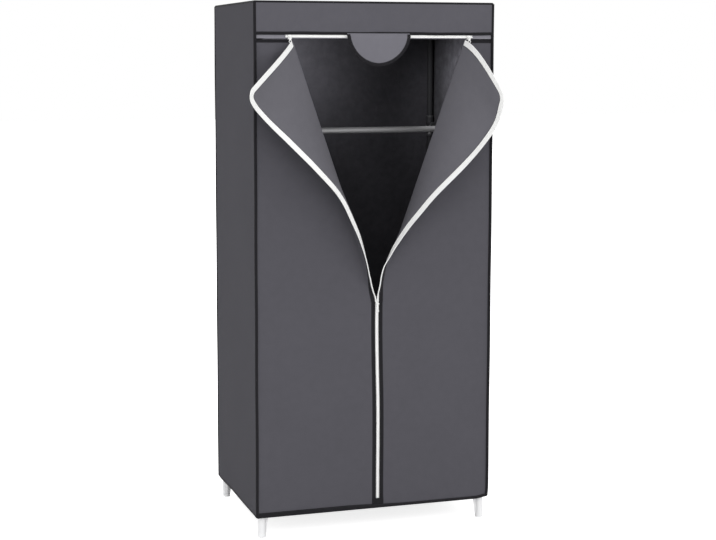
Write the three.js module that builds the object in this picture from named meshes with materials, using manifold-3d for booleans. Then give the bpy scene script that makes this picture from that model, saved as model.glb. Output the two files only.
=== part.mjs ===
// A free-standing fabric wardrobe: a steel tube frame in plastic connectors, under a zipped non-woven cover
// whose two front flaps are folded open. Millimetres. X runs to the right, Y to the back and Z up.
import * as THREE from "three";
import { mergeVertices } from "three/addons/utils/BufferGeometryUtils.js";
import Module from "manifold-3d";

const wasm = await Module();
wasm.setup();

// Driving dimensions of the cover
const coverWidth = 750;
const coverDepth = 500;
const coverHeight = 1600;
const hemHeight = 64;
const clothThickness = 1.5;
const pipingRadius = 3.5;
const clothSetback = 1; // the cloth's outer face lies this far inside the piping
const gap = 0.3; // between pieces that touch
const overrun = 5; // how far a cut runs past what it cuts

// Front of the cover
const seamOffset = 5; // the centre zip hangs this far to the right of the middle
const valanceHeight = 98;
const valanceStandoff = 1.5; // air between the valance and the header strip behind it
const bindingHeight = 9;
const bindingProud = 1.6;
const openingDrop = 13.5; // from the valance's lower edge down to the opening
const openingBottom = 702;
const openingLeft = 267; // from the seam to the left end of the top zip
const openingRight = 278;
const edgeBinding = 12.5; // bound edges of the front panels along the centre zip
const edgeBindingProud = 0.75;
const topBinding = 9.5;
const bindingToFold = 5;
const zipSlot = 11; // width of white zip seen between the bound edges
const zipBottom = 92;

// Zips
const tapeWidth = 15.5;
const tapeThickness = 1.2;
const beadWidth = 3;
const beadThickness = 2.8;
const zipParting = 1.6; // the slider's web runs between the two halves
const centreTapeWidth = 12;
const headerTapeHeight = 10;
const headerZipDrop = 3.2; // from the opening's top up to the header zip's lower edge
const headerTapeThickness = 0.9;
const headerBeadThickness = 2.5;

// Zip sliders and their pulls
const sliderWidth = 12;
const sliderLength = 12.5;
const sliderPlate = 1.8;
const sliderClearance = 0.4;
const sliderWeb = 1;
const sliderWebLength = 5;
const sliderProud = 2; // the centre slider stands this far in front of the bound edges
const topSliderWebHeight = 2.1;
const pinRadius = 0.9;
const pinStandoff = 3.4;
const pinClearance = 0.25;
const barrelRadius = 2.1;
const earThickness = 1.5;
const pullWidth = 6.4;
const pullRing = 4.5;
const pullThickness = 1.2;
const topPullLength = 17;
const centrePullLength = 27;
const pullHole = 2.6;

// Cover tab over the place where the three zips meet
const tabWidth = 197;
const tabDrop = 82;
const tabRoot = 4; // the tab is sewn on this far above the valance's lower edge
const tabBulge = 6.8; // room behind the tab for a slider and its pull

// Flaps: the angle each has opened from shut, at the top, the middle and the bottom of its fold
const cornerRadius = 30;
// All from the fold: where a flap's cloth starts, its axis forward, the panel's edge, the slider
const leftFold = { start: 1.2, forward: 1.4, clear: 0.35, slider: 5 };
const rightFold = { start: 0.5, forward: 0.8, clear: 0.9, slider: 10 };
const curlLength = 250; // a rib this long turns by the whole curl
const curlMiddle = 0.5; // the angles below hold halfway along such a rib
const tapeStart = 12; // the flap's tape starts this far above the closed zip
const tapeFromFold = 15;
const leastCloth = 5;
const leftOpen = { topAngle: 160, middleAngle: 121.5, bottomAngle: 91, curlAngle: 2, topShare: 1 };
const rightOpen = { topAngle: 116, middleAngle: 109, bottomAngle: 46, curlAngle: 19, topShare: 0.8 };
const flaps = {
  left: { side: -1, reach: openingLeft, droop: 33, ...leftOpen, ...leftFold },
  right: { side: 1, reach: openingRight, droop: 48, ...rightOpen, ...rightFold },
};

// Frame
const tubeRadius = 9.5;
const tubeWall = 0.8;
const postInset = 22; // from the cover's outside to a post's axis
const railHeight = 82;
const hangingHeight = 1210;
const socketWall = 2.6;
const socketFloor = 10;
const socketDepth = 24;
const footRadius = 12;
const footWaist = 11;
const finThickness = 2.4;
const finLength = 20;
const finDrop = 34;
const teeLength = 34;
const shelfSide = 40; // bare rail at each end of the base shelf
const shelfOverRail = 5;

// Facets
const tubeSides = 14;
const pinSides = 8;
const flapRows = 22;
const flapColumns = 7;
const clothCornerRows = 4;
const tapeCornerRows = 5;
const tapeTopRows = 6;
const tabColumns = 20;
const tabBluntness = Math.PI / 32; // the tab's sides end in a short edge, not in a point

const halfWidth = coverWidth / 2;
const halfDepth = coverDepth / 2;
const frontFace = -halfDepth + clothSetback;
const backFace = halfDepth - clothSetback;
const pipingX = halfWidth - pipingRadius;
const pipingY = halfDepth - pipingRadius;
const clothEndX = halfWidth - 2 * pipingRadius - gap;
const clothEndY = halfDepth - 2 * pipingRadius - gap;
const pipingTop = coverHeight - pipingRadius;
const clothTop = coverHeight - 2 * pipingRadius - gap;
const hemTop = hemHeight + bindingHeight;
const clothBottom = hemTop + gap;
const valanceBottom = coverHeight - valanceHeight;
const openingTop = valanceBottom - openingDrop;
const panelFace = frontFace + clothThickness + valanceStandoff; // of the front panels and header strip
const panelMiddle = panelFace + clothThickness / 2;
const bindingFront = frontFace - bindingProud;
const bindingBack = panelFace - gap;
const postX = halfWidth - postInset;
const postY = halfDepth - postInset;
const boreRadius = tubeRadius + gap;
const socketRadius = boreRadius + socketWall;
const roofFace = coverHeight - clothSetback;
const topRailZ = roofFace - clothThickness - gap - socketRadius; // the top connectors carry the roof
const tubeEnd = socketFloor + gap; // from a connector's centre to the end of a tube in it

function finish(color, roughness, metalness) {
  return new THREE.MeshStandardMaterial({ color, roughness, metalness });
}
const cloth = finish(0x57565c, 0.9, 0);
const clothInside = finish(0x68676d, 0.9, 0);
const black = finish(0x26252a, 0.85, 0);
const zipWhite = finish(0xf2f2f0, 0.7, 0);
const steel = finish(0x3c3c3e, 0.5, 0.3);
const railSteel = finish(0x8c8c8d, 0.4, 0.4);
const plastic = finish(0xe9e9e6, 0.4, 0);
const darkPlastic = finish(0x37373a, 0.5, 0);

const wardrobe = new THREE.Group();

function add(name, geometry, material, x = 0, y = 0, z = 0, parent = wardrobe) {
  const mesh = new THREE.Mesh(geometry, material);
  mesh.name = name;
  mesh.position.set(x, y, z);
  parent.add(mesh);
  return mesh;
}

// Geometry in and out of the solid library
function solid(geometry) {
  const bare = geometry.clone();
  bare.deleteAttribute("normal");
  bare.deleteAttribute("uv");
  const merged = mergeVertices(bare);
  return new wasm.Manifold(
    new wasm.Mesh({
      numProp: 3,
      vertProperties: new Float32Array(merged.attributes.position.array),
      triVerts: new Uint32Array(merged.index.array),
    }),
  );
}

function geometryOf(body) {
  const mesh = body.getMesh();
  const geometry = new THREE.BufferGeometry();
  geometry.setAttribute("position", new THREE.BufferAttribute(mesh.vertProperties, mesh.numProp));
  geometry.setIndex(new THREE.BufferAttribute(mesh.triVerts, 1));
  geometry.computeVertexNormals();
  return geometry;
}

const joined = (bodies) => geometryOf(bodies.reduce((a, b) => a.add(b)));

// A box between two corners
function block([x0, y0, z0], [x1, y1, z1]) {
  const geometry = new THREE.BoxGeometry(x1 - x0, y1 - y0, z1 - z0);
  return geometry.translate((x0 + x1) / 2, (y0 + y1) / 2, (z0 + z1) / 2);
}

// A cylinder or cone from a point, along X, Y or Z in either direction
const turns = {
  x: (g, way) => g.rotateZ((-way * Math.PI) / 2),
  y: (g, way) => g.rotateX(way > 0 ? 0 : Math.PI),
  z: (g, way) => g.rotateX((way * Math.PI) / 2),
};
function rod(radius, length, axis, way = 1, start = 0, farRadius = radius, sides = tubeSides) {
  const geometry = new THREE.CylinderGeometry(farRadius, radius, length, sides);
  return turns[axis](geometry.translate(0, start + length / 2, 0), way);
}

function tube(length, axis) {
  const inner = tubeRadius - tubeWall;
  const profile = [
    new THREE.Vector2(inner, -length / 2),
    new THREE.Vector2(tubeRadius, -length / 2),
    new THREE.Vector2(tubeRadius, length / 2),
    new THREE.Vector2(inner, length / 2),
    new THREE.Vector2(inner, -length / 2),
  ];
  return turns[axis](new THREE.LatheGeometry(profile, tubeSides), 1);
}

// A flat piece cut from an outline in the plane of the front, from y0 back to y1
function frontPlate(outline, y0, y1) {
  const shape = new THREE.Shape(outline.map(([x, z]) => new THREE.Vector2(x, z)));
  const geometry = new THREE.ExtrudeGeometry(shape, { depth: y1 - y0, bevelEnabled: false });
  return geometry.rotateX(Math.PI / 2).translate(0, y1, 0);
}

// A closed sheet through rows of points, with a thickness for each column
function sheet(rows, thicknesses) {
  const deep = rows.length;
  const wide = rows[0].length;
  const positions = [];
  const at = (i, j) => rows[Math.min(Math.max(i, 0), deep - 1)][Math.min(Math.max(j, 0), wide - 1)];
  for (const way of [0.5, -0.5]) {
    for (let i = 0; i < deep; i++) {
      for (let j = 0; j < wide; j++) {
        const down = at(i + 1, j).clone().sub(at(i - 1, j));
        const across = at(i, j + 1).clone().sub(at(i, j - 1));
        const normal = down.cross(across).normalize();
        positions.push(...at(i, j).clone().addScaledVector(normal, way * thicknesses[j]));
      }
    }
  }
  const back = deep * wide;
  const index = [];
  const quad = (a, b, c, d) => index.push(a, b, c, a, c, d);
  for (let i = 0; i + 1 < deep; i++) {
    for (let j = 0; j + 1 < wide; j++) {
      const a = i * wide + j;
      quad(a, a + wide, a + wide + 1, a + 1);
      quad(back + a, back + a + 1, back + a + wide + 1, back + a + wide);
    }
    const first = i * wide;
    const last = first + wide - 1;
    quad(first, back + first, back + first + wide, first + wide);
    quad(last, last + wide, back + last + wide, back + last);
  }
  for (let j = 0; j + 1 < wide; j++) {
    const end = (deep - 1) * wide + j;
    quad(j, j + 1, back + j + 1, back + j);
    quad(end, back + end, back + end + 1, end + 1);
  }
  const geometry = new THREE.BufferGeometry();
  geometry.setAttribute("position", new THREE.Float32BufferAttribute(positions, 3));
  geometry.setIndex(index);
  geometry.computeVertexNormals();
  return geometry;
}

function spread(count, from, to) {
  return Array.from({ length: count + 1 }, (_, k) => from + ((to - from) * k) / count);
}

// Frame: posts in two lengths, rails round the base and the top, and the hanging rail on two side rails
const corners = [
  ["front_left", -1, -1],
  ["front_right", 1, -1],
  ["rear_left", -1, 1],
  ["rear_right", 1, 1],
];

function connector(sockets, extras = [], cuts = []) {
  const socketEnd = socketFloor + socketDepth;
  const outers = sockets.map(([axis, way]) => solid(rod(socketRadius, socketEnd, axis, way)));
  const bores = sockets.map(([axis, way]) =>
    solid(rod(boreRadius, socketDepth + overrun, axis, way, socketFloor)),
  );
  const hub = solid(new THREE.SphereGeometry(socketRadius, tubeSides, tubeSides / 2));
  const body = [hub, ...outers, ...extras.map(solid)].reduce((a, b) => a.add(b));
  return geometryOf([...bores, ...cuts.map(solid)].reduce((a, b) => a.subtract(b), body));
}

// A leg below the connector, with a fin under each rail's socket
function footExtras(inX, inY) {
  const leg = rod(footWaist, railHeight, "z", -1, 0, footRadius);
  const half = finThickness / 2;
  const top = -socketRadius / 2;
  const fin = (way) => {
    const outline = [
      [0, top],
      [0, -finDrop],
      [way * footWaist, -finDrop],
      [way * finLength, top],
    ];
    if (way > 0) outline.reverse();
    return frontPlate(outline, -half, half);
  };
  return [leg, fin(inX), fin(1).rotateZ((inY * Math.PI) / 2)];
}

for (const [name, sideX, sideY] of corners) {
  const [x, y] = [sideX * postX, sideY * postY];
  const foot = connector([["z", 1], ["x", -sideX], ["y", -sideY]], footExtras(-sideX, -sideY));
  const middle = connector([["z", 1], ["z", -1], ["y", -sideY]]);
  const top = connector([["z", -1], ["x", -sideX], ["y", -sideY]]);
  add(`foot_connector_${name}`, foot, plastic, x, y, railHeight);
  add(`middle_connector_${name}`, middle, darkPlastic, x, y, hangingHeight);
  add(`top_connector_${name}`, top, darkPlastic, x, y, topRailZ);
  const lengths = [
    ["lower", railHeight, hangingHeight],
    ["upper", hangingHeight, topRailZ],
  ];
  for (const [level, low, high] of lengths) {
    const length = high - low - 2 * tubeEnd;
    add(`${level}_post_${name}`, tube(length, "z"), steel, x, y, (low + high) / 2);
  }
}
for (const [level, z] of [["base", railHeight], ["top", topRailZ]]) {
  for (const [name, side] of [["front", -1], ["rear", 1]]) {
    add(`${level}_rail_${name}`, tube(2 * (postX - tubeEnd), "x"), steel, 0, side * postY, z);
  }
  for (const [name, side] of [["left", -1], ["right", 1]]) {
    add(`${level}_rail_${name}`, tube(2 * (postY - tubeEnd), "y"), steel, side * postX, 0, z);
  }
}
for (const [name, side] of [["left", -1], ["right", 1]]) {
  add(`side_rail_${name}`, tube(2 * (postY - tubeEnd), "y"), steel, side * postX, 0, hangingHeight);
  const sleeve = rod(socketRadius, teeLength, "y", 1, -teeLength / 2);
  const bore = rod(boreRadius, teeLength + 2 * overrun, "y", 1, -teeLength / 2 - overrun);
  const tee = connector([["x", -side]], [sleeve], [bore]);
  add(`rail_tee_${name}`, tee, darkPlastic, side * postX, 0, hangingHeight);
}
add("hanging_rail", tube(2 * (postX - tubeEnd), "x"), railSteel, 0, 0, hangingHeight);

// Base shelf: a fabric panel laid over the front and rear base rails
const shelfX = postX - socketFloor - shelfSide;
const shelfZ = railHeight + tubeRadius + gap;
const shelfY = postY + shelfOverRail;
add("base_shelf", block([-shelfX, -shelfY, shelfZ], [shelfX, shelfY, shelfZ + clothThickness]), cloth);

// Cover: roof, back and side panels
const sideFace = halfWidth - clothSetback;
add(
  "roof_panel",
  block([-clothEndX, -clothEndY, roofFace - clothThickness], [clothEndX, clothEndY, roofFace]),
  cloth,
);
add(
  "back_panel",
  block([-clothEndX, backFace - clothThickness, clothBottom], [clothEndX, backFace, clothTop]),
  cloth,
);
for (const [name, side] of [["left", -1], ["right", 1]]) {
  const [inner, outer] = [side * (sideFace - clothThickness), side * sideFace];
  const panel = block(
    [Math.min(inner, outer), -clothEndY, clothBottom],
    [Math.max(inner, outer), clothEndY, clothTop],
  );
  add(`side_panel_${name}`, panel, cloth);
}

// Piping along the four upright edges and round the roof
const pipingLength = pipingTop - hemTop - gap;
const uprights = corners.map(([, sideX, sideY]) => {
  const upright = rod(pipingRadius, pipingLength, "z", 1, hemTop + gap, pipingRadius, tubeSides);
  return solid(upright.translate(sideX * pipingX, sideY * pipingY, 0));
});
const roofEdges = [-1, 1].flatMap((side) => [
  solid(rod(pipingRadius, 2 * pipingX, "x", 1, -pipingX).translate(0, side * pipingY, pipingTop)),
  solid(rod(pipingRadius, 2 * pipingY, "y", 1, -pipingY).translate(side * pipingX, 0, pipingTop)),
]);
const knuckles = corners.map(([, sideX, sideY]) =>
  solid(new THREE.SphereGeometry(pipingRadius, tubeSides, tubeSides / 2)
    .rotateX(Math.PI / 2)
    .translate(sideX * pipingX, sideY * pipingY, pipingTop)),
);
add("cover_piping", joined([...roofEdges, ...knuckles, ...uprights]), black);

// Hem binding: a band round the bottom, with the patch that closes the zip's lower end
const bandThickness = panelFace + clothThickness / 2 - frontFace;
function plan(grow, radius) {
  const [x, y] = [halfWidth - clothSetback + grow, halfDepth - clothSetback + grow];
  const shape = new THREE.Shape();
  shape.moveTo(x - radius, -y);
  shape.absarc(x - radius, -y + radius, radius, -Math.PI / 2, 0);
  shape.absarc(x - radius, y - radius, radius, 0, Math.PI / 2);
  shape.absarc(-x + radius, y - radius, radius, Math.PI / 2, Math.PI);
  shape.absarc(-x + radius, -y + radius, radius, Math.PI, 1.5 * Math.PI);
  return shape;
}
const hemCorner = bandThickness + pipingRadius;
const hemPlan = plan(0, hemCorner);
hemPlan.holes.push(plan(-bandThickness, hemCorner - bandThickness));
const hemBand = new THREE.ExtrudeGeometry(hemPlan, {
  depth: bindingHeight,
  bevelEnabled: false,
  curveSegments: 4,
}).translate(0, 0, hemHeight);
const seam = seamOffset;
const slotHalf = zipSlot / 2;
const bandHalf = slotHalf + edgeBinding;
const patch = block(
  [seam - bandHalf, frontFace + edgeBindingProud, hemHeight + bindingHeight / 2],
  [seam + bandHalf, frontFace + bandThickness, zipBottom - gap],
);
add("hem_binding", joined([hemBand, patch].map(solid)), black);

// Header strip and the valance that hangs in front of it
const headerBottom = openingTop + headerZipDrop - gap;
add(
  "header_strip",
  block([-clothEndX, panelFace, headerBottom], [clothEndX, panelFace + clothThickness, clothTop]),
  clothInside,
);
const valanceCloth = valanceBottom + bindingHeight + gap;
add(
  "valance",
  block([-clothEndX, frontFace, valanceCloth], [clothEndX, frontFace + clothThickness, clothTop]),
  cloth,
);
add(
  "valance_binding",
  block([-clothEndX, bindingFront, valanceBottom], [clothEndX, bindingBack, valanceCloth - gap]),
  black,
);

// The fold of one flap: a line in the front's plane from the top zip's end down to the closed zip's top
function foldOf({ side, reach }) {
  const top = new THREE.Vector2(seam + side * reach, openingTop);
  const bottom = new THREE.Vector2(seam + (side * zipParting) / 2, openingBottom);
  const along = bottom.clone().sub(top);
  const length = along.length();
  along.normalize();
  const across = new THREE.Vector2(-side * Math.abs(along.y), Math.abs(along.x));
  const xAt = (z) => top.x + ((bottom.x - top.x) * (top.y - z)) / (top.y - bottom.y);
  return { top, bottom, along, across, length, xAt };
}

// Front panels outside the folds, with bound edges along the centre zip and along the top
for (const [name, flap] of Object.entries(flaps)) {
  const { side } = flap;
  const { across, xAt } = foldOf(flap);
  const off = (distance, z) => xAt(z) + (side * distance) / Math.abs(across.x);
  const zOn = (x, distance) => {
    const slope = (xAt(openingTop) - xAt(openingBottom)) / (openingTop - openingBottom);
    return openingBottom + (x - off(distance, openingBottom)) / slope;
  };
  const outer = side * clothEndX;
  const inner = seam + side * slotHalf;
  const bandEdge = seam + side * bandHalf;
  const top = openingTop;
  const turn = (outline) => (side < 0 ? outline : outline.reverse());
  const panel = turn([
    [outer, clothBottom],
    [bandEdge + side * gap, clothBottom],
    [bandEdge + side * gap, zipBottom],
    [inner, zipBottom],
    [inner, zOn(inner, flap.clear)],
    [off(flap.clear, top), top],
    [outer, top],
  ]);
  const centreEdge = turn([
    [bandEdge, zipBottom],
    [inner, zipBottom],
    [inner, zOn(inner, bindingToFold)],
    [bandEdge, zOn(bandEdge, bindingToFold)],
  ]);
  const topEdge = turn([
    [outer, top - topBinding],
    [off(bindingToFold, top - topBinding), top - topBinding],
    [off(bindingToFold, top), top],
    [outer, top],
  ]);
  const proudFront = panelFace - edgeBindingProud;
  const proudBack = panelFace + clothThickness + edgeBindingProud;
  const pieces = [
    frontPlate(panel, panelFace, panelFace + clothThickness),
    frontPlate(centreEdge, proudFront, proudBack),
    frontPlate(topEdge, proudFront, proudBack),
  ];
  add(`front_panel_${name}`, joined(pieces.map(solid)), cloth);
}

// Centre zip, closed below the opening: a tape and a row of coil for each half
const zipFront = panelFace + clothThickness + edgeBindingProud + gap; // tape's front face
const zipMiddle = zipFront + tapeThickness / 2;
for (const [name, side] of [["left", -1], ["right", 1]]) {
  const near = seam + (side * zipParting) / 2;
  const span = (width, thickness) => {
    const far = near + side * width;
    return block(
      [Math.min(near, far), zipMiddle - thickness / 2, zipBottom + gap],
      [Math.max(near, far), zipMiddle + thickness / 2, openingBottom - gap],
    );
  };
  const pieces = [span(centreTapeWidth, tapeThickness), span(beadWidth, beadThickness)];
  add(`centre_zip_${name}`, joined(pieces.map(solid)), zipWhite);
}

// Header zip: the upper half of both top zips, sewn to the header strip
const headerZipBottom = openingTop + headerZipDrop;
const headerTapeBack = panelFace - gap;
const headerEnds = Object.values(flaps).map((flap) => {
  return seam + flap.side * (flap.reach + flap.slider + sliderWidth);
});
const headerTape = block(
  [headerEnds[0], headerTapeBack - headerTapeThickness, headerZipBottom],
  [headerEnds[1], headerTapeBack, headerZipBottom + headerTapeHeight],
);
const headerBead = block(
  [headerEnds[0], headerTapeBack - headerBeadThickness, headerZipBottom],
  [headerEnds[1], headerTapeBack, headerZipBottom + beadWidth],
);
add("header_zip", joined([headerTape, headerBead].map(solid)), zipWhite);

// One flap. Its flat pattern lies in the plane of the front with the flap shut, and drape() bends it open.
function through(share, top, middle, bottom) {
  const [fromTop, toBottom] = [(1 - share) * (1 - 2 * share), share * (2 * share - 1)];
  return top * fromTop + middle * 4 * share * (1 - share) + bottom * toBottom;
}

function drape(flap, x, z) {
  const { top, along, across, length } = foldOf(flap);
  const from = new THREE.Vector2(x, z).sub(top);
  const down = from.dot(along);
  const share = down / length;
  const out = from.dot(across) * through(share, flap.topShare, 1, 1);
  const steps = 12;
  let [flat, forward] = [0, 0];
  for (let k = 0; k < steps; k++) {
    const here = (out * (k + 0.5)) / steps;
    const curled = flap.curlAngle * (here / curlLength - curlMiddle);
    const open = through(share, flap.topAngle, flap.middleAngle, flap.bottomAngle) + curled;
    flat += (Math.cos(THREE.MathUtils.degToRad(open)) * out) / steps;
    forward += (Math.sin(THREE.MathUtils.degToRad(open)) * out) / steps;
  }
  const place = top.clone().addScaledVector(along, down).addScaledVector(across, flat);
  const sag = flap.droop * (out / curlLength) ** 2;
  return new THREE.Vector3(place.x, panelMiddle - flap.forward - forward, place.y - sag);
}

for (const [name, flap] of Object.entries(flaps)) {
  const { side } = flap;
  const { top, across, xAt } = foldOf(flap);
  const edge = seam + (side * zipParting) / 2;
  const atFold = (z) => xAt(z) - (side * flap.start) / Math.abs(across.x);
  const nearer = (a, b) => (side < 0 ? Math.max(a, b) : Math.min(a, b)); // whichever lies nearer the seam

  // Cloth: rows from the top down, columns from the fold to the tape
  const inset = tapeWidth + gap;
  const innerRadius = cornerRadius - inset;
  const clothHigh = openingTop - inset;
  const slope = Math.abs((xAt(openingTop) - xAt(openingBottom)) / (openingTop - openingBottom));
  const clothLow = openingBottom + (inset + flap.start + leastCloth) / slope;
  const arcRows = spread(clothCornerRows, 0, Math.PI / 2).slice(0, -1).map((t) => {
    return [clothHigh - innerRadius * (1 - Math.cos(t)), innerRadius * (1 - Math.sin(t))];
  });
  const straightRows = spread(flapRows, clothHigh - innerRadius, clothLow).map((z) => [z, 0]);
  const clothRows = [...arcRows, ...straightRows].map(([z, back]) => {
    const end = edge + side * (inset + back);
    return spread(flapColumns, atFold(z), end).map((x) => drape(flap, x, z));
  });
  add(`${name}_flap`, sheet(clothRows, Array(flapColumns + 1).fill(clothThickness)), clothInside);

  // Tape: stations along the top edge, round the corner and down the centre edge
  const stations = [];
  for (const share of spread(tapeTopRows, 0, 1)) {
    const start = top.x - side * tapeFromFold;
    const x = start + (edge + side * cornerRadius - start) * share;
    const cut = side * slope * tapeWidth * (1 - share); // the tape's end is cut parallel to the fold
    stations.push([[x, openingTop], [x - cut, openingTop - tapeWidth]]);
  }
  const centre = [edge + side * cornerRadius, openingTop - cornerRadius];
  for (const t of spread(tapeCornerRows, 0, Math.PI / 2).slice(1)) {
    const point = (r) => [centre[0] - side * r * Math.sin(t), centre[1] + r * Math.cos(t)];
    stations.push([point(cornerRadius), point(cornerRadius - tapeWidth)]);
  }
  for (const z of spread(flapRows, openingTop - cornerRadius, openingBottom + tapeStart).slice(1)) {
    const inner = nearer(side < 0 ? edge - tapeWidth : edge + tapeWidth, atFold(z));
    stations.push([[edge, z], [inner, z]]);
  }
  const beadShare = beadWidth / tapeWidth;
  const beadFoot = 1.2 * beadShare; // the tape rises to the bead over a short slope
  const acrossShares = [0, 0.5, 1 - beadFoot, 1 - beadShare, 1];
  const tapeRows = stations.map(([outer, inner]) => {
    const [wide, high] = [outer[0] - inner[0], outer[1] - inner[1]];
    return acrossShares.map((s) => drape(flap, inner[0] + wide * s, inner[1] + high * s));
  });
  const thicknesses = [tapeThickness, tapeThickness, tapeThickness, beadThickness, beadThickness];
  add(`${name}_flap_tape`, sheet(tapeRows, thicknesses), zipWhite);
}

// Tab: a half-round sheet that hangs from the valance and bulges over the sliders behind it
const tabTop = valanceBottom + tabRoot;
const tabRootY = bindingFront - gap - clothThickness / 2;
const bulgeShares = [
  [0, 0],
  [0.05, 0.5],
  [0.1, 0.97],
  [0.3, 1],
  [0.6, 0.9],
  [1, 0.6],
];
function bulgeAt(share) {
  const last = bulgeShares.length - 1;
  const k = bulgeShares.findIndex(([s], index) => index === last || (index > 0 && s >= share));
  const [[s0, b0], [s1, b1]] = [bulgeShares[k - 1], bulgeShares[k]];
  return b0 + ((b1 - b0) * (share - s0)) / (s1 - s0);
}
const tabReach = Math.cos(tabBluntness);
const tabShares = spread(tabColumns, -1, 1).map((t) => tabReach * Math.sin((t * Math.PI) / 2));
const tabDownShares = [0, 0.03, 0.06, 0.1, 0.15, 0.22, 0.32, 0.5, 0.75, 1];
const tabRows = tabDownShares.map((down) =>
  tabShares.map((t) => {
    const drop = (tabDrop + tabRoot) * Math.sqrt(1 - t * t);
    const z = tabTop - down * drop;
    const bulge = tabBulge * bulgeAt((tabTop - z) / (tabDrop + tabRoot));
    return new THREE.Vector3(seam + (t * tabWidth) / 2, tabRootY - bulge, z);
  }),
);
add("zip_cover_tab", sheet(tabRows, Array(tabColumns + 1).fill(clothThickness)), clothInside);

// Sliders. Each has a front and a back plate, a web between them, and a pin in two ears for its pull.
const pinLength = pullWidth + 2 * earThickness + 2 * gap;
function pinAndEars(face, z) {
  const pinY = face - pinStandoff;
  const pin = rod(pinRadius, pinLength, "x", 1, -pinLength / 2, pinRadius, pinSides).translate(0, pinY, z);
  const ears = [-1, 1].map((side) => {
    const middle = (side * (pinLength - earThickness)) / 2;
    return block(
      [middle - earThickness / 2, pinY - pinRadius - gap, z - barrelRadius / 2],
      [middle + earThickness / 2, face + gap, z + barrelRadius / 2],
    );
  });
  return [pin, ...ears];
}

function pull(length) {
  const barrel = solid(rod(barrelRadius, pullWidth, "x", 1, -pullWidth / 2));
  const half = pullThickness / 2;
  const blade = solid(block([-pullWidth / 2, -half, -length + pullRing], [pullWidth / 2, half, 0]));
  const end = solid(rod(pullRing, pullThickness, "y", 1, -half).translate(0, 0, -length + pullRing));
  const eyeRadius = pinRadius + pinClearance;
  const eye = solid(rod(eyeRadius, pullWidth + 2 * overrun, "x", 1, -pullWidth / 2 - overrun));
  const hole = solid(
    rod(pullHole, pullThickness + 2 * overrun, "y", 1, -half - overrun).translate(0, 0, -length + pullRing),
  );
  return geometryOf(barrel.add(blade).add(end).subtract(eye).subtract(hole));
}

// Centre slider, parked at the top of the closed zip
const centreSliderZ = openingBottom - gap - sliderLength / 2;
const beadFront = zipMiddle - beadThickness / 2;
const beadBack = zipMiddle + beadThickness / 2;
const centreFace = panelFace - edgeBindingProud - sliderProud;
const centreHalf = slotHalf - sliderClearance;
const halfLength = sliderLength / 2;
const centreSlider = [
  block([-centreHalf, centreFace, -halfLength], [centreHalf, beadFront - sliderClearance, halfLength]),
  block(
    [-centreHalf, beadBack + sliderClearance, -halfLength],
    [centreHalf, beadBack + sliderClearance + sliderPlate, halfLength],
  ),
  block(
    [-sliderWeb / 2, centreFace + sliderPlate, halfLength - sliderWebLength],
    [sliderWeb / 2, beadBack + sliderClearance + sliderPlate / 2, halfLength],
  ),
  ...pinAndEars(centreFace, halfLength / 2),
];
add("centre_slider", joined(centreSlider.map(solid)), zipWhite, seam, 0, centreSliderZ);
const centrePullZ = centreSliderZ + halfLength / 2;
add("centre_pull", pull(centrePullLength), zipWhite, seam, centreFace - pinStandoff, centrePullZ);

// Top sliders, parked at the outer ends of the top zips, astride the header strip
const topFace = headerTapeBack - headerBeadThickness - sliderClearance - sliderPlate;
const headerBack = panelFace + clothThickness + sliderClearance;
const topSliderLow = headerBottom - sliderClearance - topSliderWebHeight;
const topSliderHigh = valanceBottom - gap;
const topPinZ = (topSliderLow + topSliderHigh) / 2;
for (const [name, flap] of Object.entries(flaps)) {
  const x = seam + flap.side * (flap.reach + flap.slider);
  const half = sliderWidth / 2;
  const body = [
    block([-half, topFace, topSliderLow], [half, topFace + sliderPlate, topSliderHigh]),
    block([-half, headerBack, topSliderLow], [half, headerBack + sliderPlate, topSliderHigh]),
    block(
      [-half, topFace + sliderPlate / 2, topSliderLow],
      [half, headerBack + sliderPlate / 2, topSliderLow + topSliderWebHeight],
    ),
    ...pinAndEars(topFace, topPinZ),
  ];
  add(`${name}_top_slider`, joined(body.map(solid)), zipWhite, x, 0, 0);
  add(`${name}_top_pull`, pull(topPullLength), zipWhite, x, topFace - pinStandoff, topPinZ);
}

// The origin is on the floor, in the middle of the box round the whole wardrobe with its flaps open
const box = new THREE.Box3().setFromObject(wardrobe);
const middle = box.getCenter(new THREE.Vector3());
const placed = new THREE.Group();
wardrobe.position.set(-middle.x, -middle.y, -box.min.z);
placed.add(wardrobe);

export default placed;
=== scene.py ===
"""A portable fabric wardrobe: a cloth cover with zips over a steel tube frame with plastic connectors."""

import math

import bpy
import numpy as np
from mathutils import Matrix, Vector


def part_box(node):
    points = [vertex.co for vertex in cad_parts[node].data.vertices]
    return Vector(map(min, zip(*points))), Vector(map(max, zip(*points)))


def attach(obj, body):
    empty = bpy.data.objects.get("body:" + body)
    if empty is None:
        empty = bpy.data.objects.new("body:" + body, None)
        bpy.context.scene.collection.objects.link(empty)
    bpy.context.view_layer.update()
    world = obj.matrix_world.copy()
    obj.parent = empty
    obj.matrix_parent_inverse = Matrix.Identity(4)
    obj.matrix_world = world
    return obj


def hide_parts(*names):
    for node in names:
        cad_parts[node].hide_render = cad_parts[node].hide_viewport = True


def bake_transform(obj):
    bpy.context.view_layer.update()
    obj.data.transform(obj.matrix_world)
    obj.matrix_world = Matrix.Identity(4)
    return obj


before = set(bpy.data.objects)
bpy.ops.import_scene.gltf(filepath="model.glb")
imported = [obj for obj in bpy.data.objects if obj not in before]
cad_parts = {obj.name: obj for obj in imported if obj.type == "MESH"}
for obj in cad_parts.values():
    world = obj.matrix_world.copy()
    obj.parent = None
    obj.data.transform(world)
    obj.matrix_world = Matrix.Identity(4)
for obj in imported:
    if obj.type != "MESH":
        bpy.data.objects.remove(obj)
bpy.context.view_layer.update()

# Places. All sizes below are in millimetres, from the middle of the cover's floor plan, until at() turns them
# into the frame's metres.
MM = 0.001
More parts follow.
